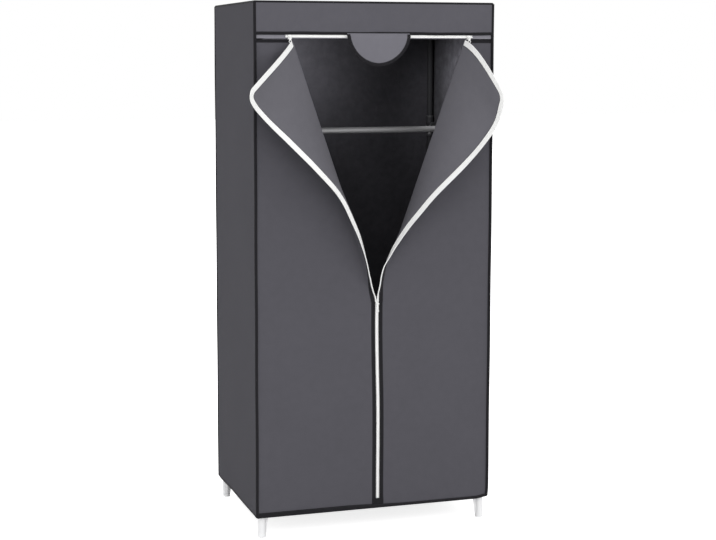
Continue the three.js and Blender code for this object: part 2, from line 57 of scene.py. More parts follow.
rail_low, rail_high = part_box("hanging_rail")
MIDDLE = np.array([(rail_low.x + rail_high.x) / 2, (rail_low.y + rail_high.y) / 2, 0.0])


def at(points):
    """Millimetres on the cover to metres in the frame."""
    return np.asarray(points, float) * MM + MIDDLE


def span(node):
    """Lowest and highest corner of a CAD node, in millimetres on the cover."""
    low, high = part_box(node)
    return (np.array(low) - MIDDLE) / MM, (np.array(high) - MIDDLE) / MM


UP = np.array([0, 0, 1.0])
FORWARD = np.array([0, -1.0, 0])
HALF_WIDTH, HALF_DEPTH, TOP = span("cover_piping")[1]
HEM = span("hem_binding")[0][2]
FRONT = span("valance")[0][1]
SEAM = float(sum(corner[0] for corner in span("centre_slider")) / 2)
PANEL_MIDDLE = span("header_strip")[0][1] + 0.75
OPENING_TOP = span("front_panel_left")[1][2]
OPENING_BOTTOM = span("centre_zip_left")[1][2] + 0.3
ZIP_BOTTOM = span("centre_zip_left")[0][2]
ROOF_CORD, UPRIGHT_CORD = 3.5, 4.6  # radii of the piping
PIPING_X, PIPING_Y, PIPING_Z = HALF_WIDTH - ROOF_CORD, HALF_DEPTH - ROOF_CORD, TOP - ROOF_CORD
# where the walls' cloth ends inside the piping and the hem
CLOTH_X, CLOTH_Y, CLOTH_TOP, CLOTH_BOTTOM = PIPING_X + 0.5, PIPING_Y + 0.5, TOP - 5, HEM + 3
CLOTH = 1.1  # thickness
SLOT = 11  # white between the bound edges of the closed zip
EDGE_BINDING, TOP_BINDING, HEM_HEIGHT = 12.5, 9.5, 9
TOOTH = 2.3  # from one tooth of a zip to the next
TUBE = (rail_high.z - rail_low.z) / 2 / MM
SOCKET = TUBE + 2.9  # radius of a connector's sleeve


# Sums


def smooth(low, high, value):
    """0 below low, 1 above high, with a soft step between them. High may be the smaller one."""
    t = np.clip((np.asarray(value, float) - low) / (high - low), 0, 1)
    return t * t * (3 - 2 * t)


def hump(*ways):
    """A round hump of height 1. Each way is a distance from its middle and how far it reaches."""
    return np.exp(-sum((distance / reach) ** 2 for distance, reach in ways))


def unit(vectors):
    return vectors / np.maximum(np.linalg.norm(vectors, axis=-1, keepdims=True), 1e-12)


def stations(low, high, step=11):
    """Even stations from low to high, about a step apart."""
    return np.linspace(low, high, max(2, int(round(abs(high - low) / step)) + 1))


def spots(*coordinates):
    """Points from their coordinates, any of which may be one number for all."""
    return np.stack(np.broadcast_arrays(*(np.asarray(value, float) for value in coordinates)), -1)


def net(rows, columns):
    """A grid of pairs, one value of its row and one of its column."""
    return np.stack(np.meshgrid(rows, columns, indexing="ij"), axis=-1)


def tangents(line, closed=False):
    """Unit vectors along a line."""
    line = np.asarray(line, float)
    return unit(np.roll(line, -1, axis=0) - np.roll(line, 1, axis=0) if closed else np.gradient(line, axis=0))


def lengths(line):
    """How far along a line each of its points is."""
    return np.concatenate([[0], np.cumsum(np.linalg.norm(np.diff(line, axis=0), axis=1))])


def curve(value, places, heights):
    """A smooth line through some heights at their places."""
    heights = np.asarray(heights, float)
    slopes = np.gradient(heights, places)
    value = np.clip(value, places[0], places[-1])
    k = np.clip(np.searchsorted(places, value) - 1, 0, len(places) - 2)
    wide = places[k + 1] - places[k]
    t = (value - places[k]) / wide
    ends = (1 + 2 * t) * (1 - t) ** 2 * heights[k] + t * t * (3 - 2 * t) * heights[k + 1]
    return ends + wide * t * (1 - t) * ((1 - t) * slopes[k] - t * slopes[k + 1])


# Materials


def new_node(tree, kind, settings=None, sockets=None):
    """A node of this type, with its settings made first, then the values and links of its sockets."""
    made = tree.nodes.new(kind)
    for name, value in (settings or {}).items():
        setattr(made, name, value)
    for name, value in (sockets or {}).items():
        fill(tree, made.inputs[name], value)
    return made


def fill(tree, socket, value):
    """Links an output to the socket, or sets the socket's own value."""
    value = value.socket if isinstance(value, Wire) else value
    if isinstance(value, bpy.types.NodeSocket):
        tree.links.new(value, socket)
    else:
        socket.default_value = value


def both_ways(operation):
    """An operator of the wires, and its reflected form."""
    return (
        lambda self, other: self.sums(operation, self, other),
        lambda self, other: self.sums(operation, other, self),
    )


class Wire:
    """One output of a finish's nodes, which takes part in plain sums."""

    __add__, __radd__ = both_ways("ADD")
    __sub__, __rsub__ = both_ways("SUBTRACT")
    __mul__, __rmul__ = both_ways("MULTIPLY")
    __pow__, __rpow__ = both_ways("POWER")

    def __init__(self, finish, socket):
        self.finish = finish
        self.socket = socket

    def sums(self, operation, *values):
        return self.finish.node("ShaderNodeMath", {"operation": operation}, dict(enumerate(values)))

    def wave(self, length):
        """A cosine from 0 to 1 that repeats after each length."""
        return self.sums("COSINE", self * (2 * math.pi / length)) * 0.5 + 0.5

    def step(self, low, high):
        """0 below low and 1 above high, with a soft step between them."""
        sockets = {"Value": self, "From Min": low, "From Max": high}
        return self.finish.node("ShaderNodeMapRange", {"interpolation_type": "SMOOTHSTEP"}, sockets)


class Finish:
    """A material with one Principled shader, whose nodes are written as sums."""

    def __init__(self, name, **uniform):
        self.material = bpy.data.materials.new(name)
        self.material.use_nodes = True
        self.tree = self.material.node_tree
        self.tree.nodes.clear()
        self.shader = self.tree.nodes.new("ShaderNodeBsdfPrincipled")
        self.surface = self.tree.nodes.new("ShaderNodeOutputMaterial").inputs["Surface"]
        self.tree.links.new(self.shader.outputs[0], self.surface)
        for socket, value in uniform.items():
            self.shader.inputs[socket.replace("_", " ").title().replace("Ior", "IOR")].default_value = value

    def node(self, kind, settings=None, sockets=None, output=0):
        return Wire(self, new_node(self.tree, kind, settings, sockets).outputs[output])

    def cut(self):
        """The piece's own flat coordinates in metres: both, across the cloth and along it."""
        whole = self.node("ShaderNodeUVMap", {"uv_map": "cut"})
        return whole, self.part(whole, 0), self.part(whole, 1)

    def place(self):
        """Object coordinates, which are the frame's own."""
        return self.node("ShaderNodeTexCoord", output=3)

    def part(self, vector, which):
        return self.node("ShaderNodeSeparateXYZ", {}, {0: vector}, output=which)

    def stretched(self, vector, scale, turn=0.0):
        """The pattern's coordinates, turned and stretched."""
        sockets = {"Vector": vector, "Scale": scale, "Rotation": (0, 0, turn)}
        return self.node("ShaderNodeMapping", {}, sockets)

    def grain(self, vector, scale, detail=2.0, roughness=0.5):
        sockets = {"Vector": vector, "Scale": scale, "Detail": detail, "Roughness": roughness}
        return self.node("ShaderNodeTexNoise", {}, sockets)

    def blend(self, share, first, second):
        """Two colours, the second by its share."""
        return self.node("ShaderNodeMix", {"data_type": "RGBA"}, {0: share, 6: first, 7: second}, output=2)

    def coated(self, colour, roughness, height, depth):
        """The material with its colour, roughness and bumps. A height of 1 stands a depth in metres proud."""
        bump = self.node("ShaderNodeBump", {}, {"Strength": 1.0, "Distance": depth, "Height": height})
        for socket, value in (("Base Color", colour), ("Roughness", roughness), ("Normal", bump)):
            fill(self.tree, self.shader.inputs[socket], value)
        return self.material


def linear(red, green, blue):
    """A colour as an eye reads it from 0 to 255, as the shader's own numbers."""
    parts = [value / 255 for value in (red, green, blue)]
    return (*[v / 12.92 if v <= 0.04045 else ((v + 0.055) / 1.055) ** 2.4 for v in parts], 1.0)


def times(colour, share):
    return (*[min(1.0, value * share) for value in colour[:3]], 1.0)


def non_woven(name, colour, crumple=0.0):
    """Spun-bonded cloth: random fibres, pressed together at small points, uneven in tone or crumpled."""
    finish = Finish(name, sheen_weight=0.02, sheen_roughness=0.6, specular_ior_level=0.03)
    whole, across, along = finish.cut()
    apart = 0.0021  # metres between the pressed points, which lie in two nets
    points = (across.wave(apart) * along.wave(apart)).step(0.55, 0.8)
    between = ((across + apart / 2).wave(apart) * (along + apart / 2).wave(apart)).step(0.55, 0.8)
    pressed = points + between
    fibres = finish.grain(finish.stretched(whole, (1, 0.35, 1), 0.5), 1700, 3, 0.6)
    crossing = finish.grain(finish.stretched(whole, (0.35, 1, 1), -0.4), 1500, 3, 0.6)
    clouds = finish.grain(whole, 38, 4, 0.6)
    patches = finish.grain(whole, 6, 2, 0.5)
    tone = clouds * 0.6 + patches * 0.4
    darkest, palest = times(colour, 0.92 - crumple * 0.6), times(colour, 1.08 + crumple)
    pale = finish.blend(tone.step(0.3, 0.7), darkest, palest)
    fine = finish.blend((fibres + crossing).step(0.75, 1.25), pale, times(colour, 1.16))
    height = (fibres + crossing) * 0.5 - pressed * 0.6
    if crumple:
        folds = finish.grain(finish.stretched(whole, (1, 0.45, 1), 0.2), 34, 4, 0.55)
        height = height + folds * (crumple * 40)
    rough = 0.82 + pressed * -0.2 + clouds * 0.1
    return finish.coated(finish.blend(pressed * 0.35, fine, times(colour, 0.72)), rough, height, 0.00012)


def twill(name, colour):
    """Narrow woven binding with fine slanting ribs."""
    finish = Finish(name, sheen_weight=0.04, sheen_roughness=0.5, specular_ior_level=0.2)
    whole, across, along = finish.cut()
    ribs = (across + along).wave(0.0011)
    threads = (across - along * 0.35).wave(0.0007)
    wear = finish.grain(whole, 120, 4, 0.6)
    woven = ribs * 0.7 + threads * 0.3
    tone = finish.blend(woven, times(colour, 0.6), times(colour, 1.25))
    worn = finish.blend(wear.step(0.45, 0.8) * 0.5, tone, times(colour, 1.7))
    return finish.coated(worn, 0.7 + ribs * 0.15 + wear * 0.1, woven, 0.00015)


def zip_cloth(name, colour):
    """Woven zip tape: fine lengthwise ribs with a dotted crosswise bind."""
    finish = Finish(name, sheen_weight=0.1, sheen_roughness=0.5, specular_ior_level=0.3)
    whole, across, along = finish.cut()
    ribs, binds = across.wave(0.0009), along.wave(0.0016)
    dots = (ribs * binds).step(0.35, 0.75)
    soil = finish.grain(whole, 60, 3, 0.6)
    woven = finish.blend(dots, times(colour, 0.96), colour)
    soiled = finish.blend(soil.step(0.5, 0.85) * 0.3, woven, times(colour, 0.93))
    return finish.coated(soiled, 0.72 + binds * 0.12, ribs * 0.5 + dots * 0.5, 0.00018)


def moulded(name, colour, gloss=0.42):
    """Plain moulded plastic: a fine skin, a touch of flow marks and scuffs."""
    finish = Finish(name, specular_ior_level=0.45)
    place = finish.place()
    skin = finish.grain(place, 2600, 2, 0.5)
    flow = finish.grain(finish.stretched(place, (1, 1, 0.25)), 90, 3, 0.5)
    scuffs = finish.grain(finish.stretched(place, (1, 1, 6)), 220, 5, 0.7).step(0.58, 0.75)
    marked = finish.blend(flow.step(0.3, 0.75) * 0.6, colour, times(colour, 0.88))
    return finish.coated(marked, gloss + skin * 0.1 + scuffs * 0.2, skin * 0.6 + flow * 0.4, 0.00006)


def powder_coat(name, colour, gloss=0.34, shine=0.5):
    """Baked powder coat on steel tube: even grey, a fine orange-peel skin, faint drag marks."""
    finish = Finish(name, metallic=shine / 2, specular_ior_level=shine, coat_roughness=0.25)
    place = finish.place()
    peel = finish.grain(place, 900, 2, 0.5)
    specks = finish.grain(place, 4200, 1, 0.5)
    drags = finish.grain(finish.stretched(place, (3, 0.4, 0.4)), 160, 4, 0.65).step(0.6, 0.8)
    toned = finish.blend(specks.step(0.3, 0.7), times(colour, 0.9), times(colour, 1.1))
    dragged = finish.blend(drags * 0.4, toned, times(colour, 1.35))
    return finish.coated(dragged, gloss + peel * 0.12 + drags * 0.18, peel, 0.00008)


COVER = linear(84, 83, 89)
# The flaps' inner face is paler than the cover: partly the cloth's own paler inner side, partly painted light
# on the folded-back flaps.
LINING = linear(102, 101, 107)
cover_cloth = non_woven("cover cloth", COVER)
# The sides' cloth is the cover cloth darkened: painted shade, as the sides face away from the light.
shaded_side_cloth = non_woven("side cloth, painted shade", times(COVER, 0.74))
# The inside faces are the cover cloth darkened to a third: painted shade of the dim inside. Crumple spreads
# their tone and folds them.
shaded_inner_cloth = non_woven("inner cloth, painted shade", times(COVER, 0.34), 0.34)
valance_cloth = non_woven("valance cloth", times(COVER, 1.14))
lining_cloth = non_woven("lining cloth", LINING)
# The header strip is the lining made paler: painted light, against the shade the valance casts on it.
lit_header_cloth = non_woven("header cloth, painted light", times(LINING, 1.75))
tab_cloth = non_woven("tab cloth", linear(112, 111, 118))
# The right wall's inside face is the cover cloth darkened: painted shade of the inside, kept lighter than the
# other inside faces as painted light where light falls in through the opening.
shaded_right_wall_cloth = non_woven("right wall inside, painted shade and light", times(COVER, 0.46), 0.9)
shelf_cloth = non_woven("shelf cloth", times(COVER, 0.5))
binding = twill("black binding", linear(25, 24, 28))
tape = zip_cloth("white zip tape", linear(254, 254, 253))
coil = moulded("white zip coil", linear(254, 254, 253), 0.35)
enamel = moulded("white enamel", linear(246, 246, 245), 0.28)
plastic = moulded("white plastic", linear(250, 250, 251), 0.42)
# The middle and top corner pieces and the tees are the white plastic darkened: painted shade, so they sink
# into the dim inside.
shaded_plastic = moulded("corner plastic, painted shade", linear(40, 40, 43), 0.5)
# The posts' and rails' powder coat is darkened: painted shade of the dim inside; the hanging rail keeps the
# pale coat.
steel = powder_coat("frame powder coat, painted shade", linear(38, 38, 40), 0.6, 0.1)
rail_steel = powder_coat("pale powder coat", linear(158, 158, 160))
black_thread = moulded("black thread", linear(44, 43, 47), 0.7)
white_thread = moulded("white thread", linear(236, 236, 235), 0.7)


# Meshes


def piece(name, points, faces, materials, cut=None, which=None, crease=42):
    """A mesh object from points and faces in metres. Cut is where each point is on the flat cloth."""
    mesh = bpy.data.meshes.new(name)
    mesh.from_pydata([tuple(p) for p in points], [], [tuple(int(k) for k in f) for f in faces])
    for material in materials:
        mesh.materials.append(material)
    if cut is not None:
        corners = np.zeros(len(mesh.loops), np.int32)
        mesh.loops.foreach_get("vertex_index", corners)
        layer = mesh.uv_layers.new(name="cut")
        layer.data.foreach_set("uv", np.asarray(cut, np.float32)[corners].ravel())
    if which is not None:
        mesh.polygons.foreach_set("material_index", np.asarray(which, np.int32))
    return shown(name, mesh, crease)


def shown(name, mesh, crease):
    """An object with this mesh, shaded smooth up to a crease in degrees."""
    mesh.polygons.foreach_set("use_smooth", np.ones(len(mesh.polygons), bool))
    mesh.set_sharp_from_angle(angle=math.radians(crease))
    mesh.update()
    made = bpy.data.objects.new(name, mesh)
    bpy.context.scene.collection.objects.link(made)
    return made


def join(objects, name):
    """Several meshes as one, or one alone, under a new name."""
    first = objects[0]
    if len(objects) > 1:
        with bpy.context.temp_override(active_object=first, object=first, selected_editable_objects=objects):
            bpy.ops.object.join()
    first.name = first.data.name = name
    return first


def dress(made, node, body="wardrobe"):
    """The piece takes the place of a CAD node and of its finish."""
    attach(made, body)
    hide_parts(node)
    return made


def layered(name, points, cut, outside, inside=None, thickness=CLOTH, lift=0.0, mirrored=False):
    """A closed sheet of cloth through a grid of points in mm.

    Its outside is where the rows run down and the columns to the right, or to the left if it is mirrored.
    Lift moves it off the points to that side.
    """
    if mirrored:
        points, cut = points[:, ::-1], cut[:, ::-1]
    deep, wide = points.shape[:2]
    normals = unit(np.cross(np.gradient(points, axis=0), np.gradient(points, axis=1)))
    front = points + normals * (lift + thickness / 2)
    back = points + normals * (lift - thickness / 2)
    vertices = at(np.concatenate([front.reshape(-1, 3), back.reshape(-1, 3)]))
    flat = np.tile(cut.reshape(-1, 2), (2, 1)) * MM
    index = np.arange(deep * wide).reshape(deep, wide)
    top = np.stack([index[:-1, :-1], index[1:, :-1], index[1:, 1:], index[:-1, 1:]], axis=-1).reshape(-1, 4)
    under = top[:, ::-1] + deep * wide
    ring = np.array([*index[0, ::-1], *index[1:, 0], *index[-1, 1:], *index[-2:0:-1, -1]])
    after = np.roll(ring, -1)
    rim = np.stack([ring, ring + deep * wide, after + deep * wide, after], axis=-1)
    which = [0] * len(top) + [1 if inside else 0] * (len(under) + len(rim))
    materials = [outside, inside] if inside else [outside]
    return piece(name, vertices, np.concatenate([top, under, rim]), materials, flat, which)


def ring_faces(rings, sides, closed=True, turned=False):
    """Faces between rings of points, of which the last may join the first. Turned ones face the other way."""
    faces = []
    for i in range(rings if closed else rings - 1):
        for j in range(sides):
            here, there = i * sides, (i + 1) % rings * sides
            k = (j + 1) % sides
            face = (here + j, here + k, there + k, there + j)
            faces.append((face[0], *face[:0:-1]) if turned else face)
    return faces


def end_faces(rings, sides):
    """The faces that close the first and the last ring of a turned row."""
    return [tuple(range(sides)), tuple(range(rings * sides - 1, (rings - 1) * sides - 1, -1))]


def rounded(width, height, radius):
    """Section of a flattened band: a rounded rectangle round the origin, anticlockwise."""
    points = []
    for k, (side_x, side_y) in enumerate([(1, 1), (-1, 1), (-1, -1), (1, -1)]):
        for t in np.linspace(0, math.pi / 2, 4) + k * math.pi / 2:
            x = side_x * (width / 2 - radius) + radius * math.cos(t)
            points.append((x, side_y * (height / 2 - radius) + radius * math.sin(t)))
    return points


def circle(radius):
    turns = np.arange(16) * math.pi / 8
    return spots(radius * np.cos(turns), radius * np.sin(turns))


def swept(path, section, up, material, closed=False, tall=1.0):
    """A band or cord along a path in mm. The section's first axis lies to the path's right, its second up."""
    path, section = np.asarray(path, float), np.asarray(section, float)
    count, sides = len(path), len(section)
    ahead = tangents(path, closed)
    right = unit(np.cross(ahead, np.broadcast_to(np.asarray(up, float), path.shape)))
    top = np.cross(right, ahead) * np.broadcast_to(tall, count)[:, None]
    points = path[:, None] + right[:, None] * section[None, :, :1] + top[:, None] * section[None, :, 1:]
    cut = net(lengths(path), lengths(np.vstack([section, section[:1]]))[:-1])[..., ::-1]
    faces = ring_faces(count, sides, closed, turned=True) + ([] if closed else end_faces(count, sides))
    return piece("part", at(points.reshape(-1, 3)), faces, [material], cut.reshape(-1, 2) * MM)


# Rows of small things: the coils of the zips and the stitches


def row_tree():
    """Geometry nodes that set small rods along a line, turned by the line's own vectors."""
    tree = bpy.data.node_groups.new("row of rods", "GeometryNodeTree")
    sockets = {}
    for label, kind in (
        ("Line", "Geometry"), ("Spacing", "Float"), ("Rod length", "Float"), ("Rod radius", "Float"),
        ("Rod sides", "Int"), ("Unevenness", "Float"), ("Seed", "Int"), ("Finish", "Material"),
    ):
        socket = tree.interface.new_socket(label, in_out="INPUT", socket_type="NodeSocket" + kind)
        sockets[label] = socket.identifier
    tree.interface.new_socket("Row", in_out="OUTPUT", socket_type="NodeSocketGeometry")

    def node(kind, settings=None, links=None, output=0):
        return new_node(tree, kind, settings, links).outputs[output]

    given = new_node(tree, "NodeGroupInput").outputs
    line = node("GeometryNodeMeshToCurve", {}, {"Mesh": given["Line"]})
    apart = {"Curve": line, "Length": given["Spacing"]}
    spaced = node("GeometryNodeResampleCurve", {"mode": "LENGTH"}, apart)
    lie, up = (
        node("GeometryNodeInputNamedAttribute", {"data_type": "FLOAT_VECTOR"}, {"Name": name})
        for name in ("lie", "up")
    )
    axes = {"primary_axis": "Z", "secondary_axis": "X"}
    turn = node("FunctionNodeAxesToRotation", axes, {"Primary Axis": lie, "Secondary Axis": up})
    sizes = {"Vertices": given["Rod sides"], "Radius": given["Rod radius"], "Depth": given["Rod length"]}
    rod = node("GeometryNodeMeshCylinder", {}, sizes)
    least, most = (
        node("ShaderNodeMath", {"operation": operation}, {0: 1.0, 1: given["Unevenness"]})
        for operation in ("SUBTRACT", "ADD")
    )
    drawn = {"Seed": given["Seed"], 2: least, 3: most}
    size = node("FunctionNodeRandomValue", {"data_type": "FLOAT"}, drawn, output=1)
    placed = {"Points": spaced, "Instance": rod, "Rotation": turn, "Scale": size}
    rods = node("GeometryNodeInstanceOnPoints", {}, placed)
    real = node("GeometryNodeRealizeInstances", {}, {"Geometry": rods})
    painted = node("GeometryNodeSetMaterial", {}, {"Geometry": real, "Material": given["Finish"]})
    new_node(tree, "NodeGroupOutput", {}, {0: painted})
    return tree, sockets


ROW_TREE, ROW_SOCKETS = row_tree()


def row(lines, lies, ups, spacing, length, radius, material, sides=8, uneven=0.0, seed=1):
    """Small rods along lines in mm: each lies along its own vector, with one flat towards its up."""
    points, edges, along, out = [], [], [], []
    for line, lie, up in zip(lines, lies, ups):
        line = np.asarray(line, float)
        edges += [(len(points) + k, len(points) + k + 1) for k in range(len(line) - 1)]
        points += [tuple(p) for p in at(line)]
        along.append(np.broadcast_to(np.asarray(lie, float), line.shape))
        out.append(np.broadcast_to(np.asarray(up, float), line.shape))
    mesh = bpy.data.meshes.new("row")
    mesh.from_pydata(points, edges, [])
    for label, vectors in (("lie", along), ("up", out)):
        layer = mesh.attributes.new(label, "FLOAT_VECTOR", "POINT")
        layer.data.foreach_set("vector", np.concatenate(vectors).astype(np.float32).ravel())
    guide = bpy.data.objects.new("guide", mesh)
    bpy.context.scene.collection.objects.link(guide)
    modifier = guide.modifiers.new("row", "NODES")
    modifier.node_group = ROW_TREE
    for label, value in (
        ("Spacing", spacing * MM),
        ("Rod length", length * MM),
        ("Rod radius", radius * MM),
        ("Rod sides", sides),
        ("Unevenness", uneven),
        ("Seed", seed),
        ("Finish", material),
    ):
        modifier[ROW_SOCKETS[label]] = value
    plain = bpy.data.meshes.new_from_object(guide.evaluated_get(bpy.context.evaluated_depsgraph_get()))
    bpy.data.objects.remove(guide)
    return shown("row", plain, 65)


def stitches(lines, ups, material):
    """A row of small stitches along each line, on the face that looks up."""
    apart, length, radius = 4.2, 3.0, 0.42
    return row(lines, [tangents(line) for line in lines], ups, apart, length, radius, material, 6, 0.06, 7)


# How the cover's cloth has settled


def ripple(a, b, phase):
    """A soft unevenness from -1 to 1 over two distances along the cloth."""
    first = np.sin(a / 71 + 1.3 * np.sin(b / 113 + phase))
    second = np.sin(b / 97 + 1.7 * np.sin(a / 139 + 2 * phase))
    third = np.sin((a + 1.7 * b) / 43 + 3 * phase)
    return (first + second + 0.4 * third) / 2.4


def settle(points):
    """Moves points on the cover as the cloth has settled.

    It has soft waves, a left front panel drawn aside at the opening's lower end, a closed zip that wanders to
    the right further down, a ridge below the left end of the valance, and a hem that is lifted at its front
    right corner.
    """
    moved = np.array(points, float)
    x, y, z = moved[..., 0], moved[..., 1], moved[..., 2]
    near, far = 22, 12  # a point within these of a wall's plane moves with the wall
    on_front, on_back = (smooth(HALF_DEPTH - near, HALF_DEPTH - far, way) for way in (-y, y))
    on_left, on_right = (smooth(HALF_WIDTH - near, HALF_WIDTH - far, way) for way in (-x, x))
    inside_x = smooth(HALF_WIDTH - 4, HALF_WIDTH - 50, np.abs(x))
    inside_y = smooth(HALF_DEPTH - 4, HALF_DEPTH - 50, np.abs(y))
    below_roof = smooth(TOP - 10, TOP - 60, z)
    below_opening = smooth(OPENING_TOP - 4, OPENING_TOP - 90, z) * smooth(HEM, HEM + 40, z)
    off_slider = 1 - smooth(120, 40, np.hypot(x - SEAM, (z - OPENING_BOTTOM) * 0.6))
    roof = smooth(TOP - 10, TOP - 4, z) * inside_x * inside_y

    front_wave = 1.3 * on_front * inside_x * below_opening * off_slider * ripple(x, z, 0.4)
    back_wave = 1.6 * on_back * inside_x * below_roof * ripple(x, z, 2.2)
    side_wave = 1.5 * (on_left * ripple(y, z, 1.1) + on_right * ripple(y, z, 3.7)) * inside_y * below_roof
    roof_sag = roof * (1.2 + 1.2 * ripple(x, y, 5.1))

    beside = np.clip(SEAM - (z - OPENING_BOTTOM) * 0.34 - x, 0, 400)
    drawn = hump((z - OPENING_BOTTOM - 58, 42)) * smooth(OPENING_BOTTOM, OPENING_BOTTOM + 28, z)
    drawn = 9 * drawn * np.exp(-beside / 45) * (x < SEAM) * on_front
    wander = 5 * smooth(OPENING_BOTTOM - 60, OPENING_BOTTOM - 390, z) * hump((x - SEAM, 90)) * on_front
    ridge = hump((x + PIPING_X - 50, 25), (z - OPENING_TOP + 42, 24)) * on_front
    ridge = 12 * ridge * smooth(OPENING_TOP - TOP_BINDING - 2, OPENING_TOP - TOP_BINDING - 24, z)
    corner = hump((x - PIPING_X, 22), (y + PIPING_Y, 60)) * (x > 250)

    moved[..., 0] = x + side_wave - drawn + wander - 2 * corner * smooth(HEM + 30, HEM, z)
    moved[..., 1] = y + front_wave + back_wave - ridge
    moved[..., 2] = z - roof_sag + 5 * corner * smooth(HEM + 70, HEM + 10, z)
    return moved


# The cover


def wall(node, corner, across, down, outside, inside):
    """A flat cover panel from its corner, with its two edge vectors, as it has settled."""
    corner, across, down = (np.asarray(vector, float) for vector in (corner, across, down))
    wide, deep = np.linalg.norm(across), np.linalg.norm(down)
    shares = net(stations(0, deep) / deep, stations(0, wide) / wide)
    points = corner + shares[..., :1] * down + shares[..., 1:] * across
    cut = (shares * (deep, wide))[..., ::-1]
    made = dress(layered(node + "_cloth", settle(points), cut, outside, inside), node)


def cover_walls():
    """The roof, the back and both sides, a little inside the piping's outer faces."""
    x, y, high = CLOTH_X, CLOTH_Y, CLOTH_TOP
    side, back, roof = HALF_WIDTH - 1.6, HALF_DEPTH - 1.6, TOP - 1.6
    drop = (0, 0, CLOTH_BOTTOM - high)
    for node, corner, across, down, outside, inside in (
        ("roof_panel", (-x, y, roof), (2 * x, 0, 0), (0, -2 * y, 0), cover_cloth, shaded_inner_cloth),
        ("back_panel", (x, back, high), (-2 * x, 0, 0), drop, cover_cloth, shaded_inner_cloth),
        ("side_panel_left", (-side, y, high), (0, -2 * y, 0), drop, shaded_side_cloth, shaded_inner_cloth),
        ("side_panel_right", (side, -y, high), (0, 2 * y, 0), drop, shaded_side_cloth, shaded_right_wall_cloth),
    ):
        wall(node, corner, across, down, outside, inside)


def course(x, y, z, bend, step):
    """A level loop round the cover with bent corners, whose points are no further apart than a step."""
    loop = []
    for side_x, side_y, start in ((1, -1, -90), (1, 1, 0), (-1, 1, 90), (-1, -1, 180)):
        turns = np.radians(np.linspace(start, start + 90, 7))
        corner = spots(side_x * (x - bend), side_y * (y - bend), z)
        loop += list(corner + bend * spots(np.cos(turns), np.sin(turns), 0))
    made = []
    for a, b in zip(loop, loop[1:] + loop[:1]):
        count = max(1, math.ceil(np.linalg.norm(b - a) / step))
        made += [a + (b - a) * k / count for k in range(count)]
    return np.array(made)


def piping():
    """Bound cord along the four upright edges and round the roof."""
    z = stations(CLOTH_BOTTOM, PIPING_Z - 0.5, 9)
    cords = []
    for side_x in (-1, 1):
        for side_y in (-1, 1):
            x = side_x * PIPING_X + 0.35 * np.sin(z / 61 + side_x + 2 * side_y)
            path = settle(spots(x, side_y * PIPING_Y, z))
            cords.append(swept(path, circle(UPRIGHT_CORD), -FORWARD, binding))
    loop = course(PIPING_X, PIPING_Y, PIPING_Z, bend=5, step=12)
    cords.append(swept(loop, circle(ROOF_CORD), UP, binding, closed=True))
    dress(join(cords, "cover_piping_cord"), "cover_piping")


def hem_band():
    """The folded band round the bottom edge, with the patch that closes the zip's lower end."""
    x, y = HALF_WIDTH - 2.6, HALF_DEPTH - 2.6
    loop = course(x, y, HEM, bend=3.2, step=9)
    # the band is turned up further along the left of the front
    tall = 1 + 0.72 * smooth(120, -110, loop[:, 0]) * smooth(-y + 8, -y, loop[:, 1])
    half = HEM_HEIGHT / 2 * tall
    loop[:, 2] += half
    away = np.cross(tangents(loop, closed=True), UP)
    seam = settle(loop + (half - 2.2)[:, None] * UP) + away * 1.85
    band = swept(settle(loop), rounded(3.6, HEM_HEIGHT, 1.7), UP, binding, closed=True, tall=tall)
    threads = stitches([np.vstack([seam, seam[:1]])], [np.vstack([away, away[:1]])], black_thread)
    path = settle(spots(SEAM, FRONT + 2.2, stations(HEM + 4, ZIP_BOTTOM + 2, 5)))
    patch = swept(path, rounded(SLOT + 2 * EDGE_BINDING, 3, 1.2), FORWARD, binding)
    dress(join([band, patch, threads], "hem_band"), "hem_binding")


def valance():
    """The hanging front edge of the roof, the strip behind it and its black binding."""
    x, high = CLOTH_X, CLOTH_TOP
    low, top = span("valance_binding")
    header_low = span("header_strip")[0][2]
    for node, y, bottom, outside, inside, slot in (
        ("valance", FRONT + 0.75, low[2] + 4, valance_cloth, valance_cloth, "cover_fabric"),
        ("header_strip", PANEL_MIDDLE, header_low, lit_header_cloth, shaded_inner_cloth, "lining_fabric"),
    ):
        down = (0, 0, bottom - high)
        wall(node, (-x, y, high), (2 * x, 0, 0), down, outside, inside)
    along = stations(-x, x, 12)
    sway = 0.5 * np.sin(along / 47) + 0.3 * np.sin(along / 19 + 1)
    path = spots(along, (low[1] + top[1]) / 2, (low[2] + top[2]) / 2 + sway)
    band = swept(path, rounded(9, 3.6, 1.6), FORWARD, binding)
    threads = stitches([path + (0, -1.85, 2.6)], [FORWARD], black_thread)
    dress(join([band, threads], "valance_edge"), "valance_binding")


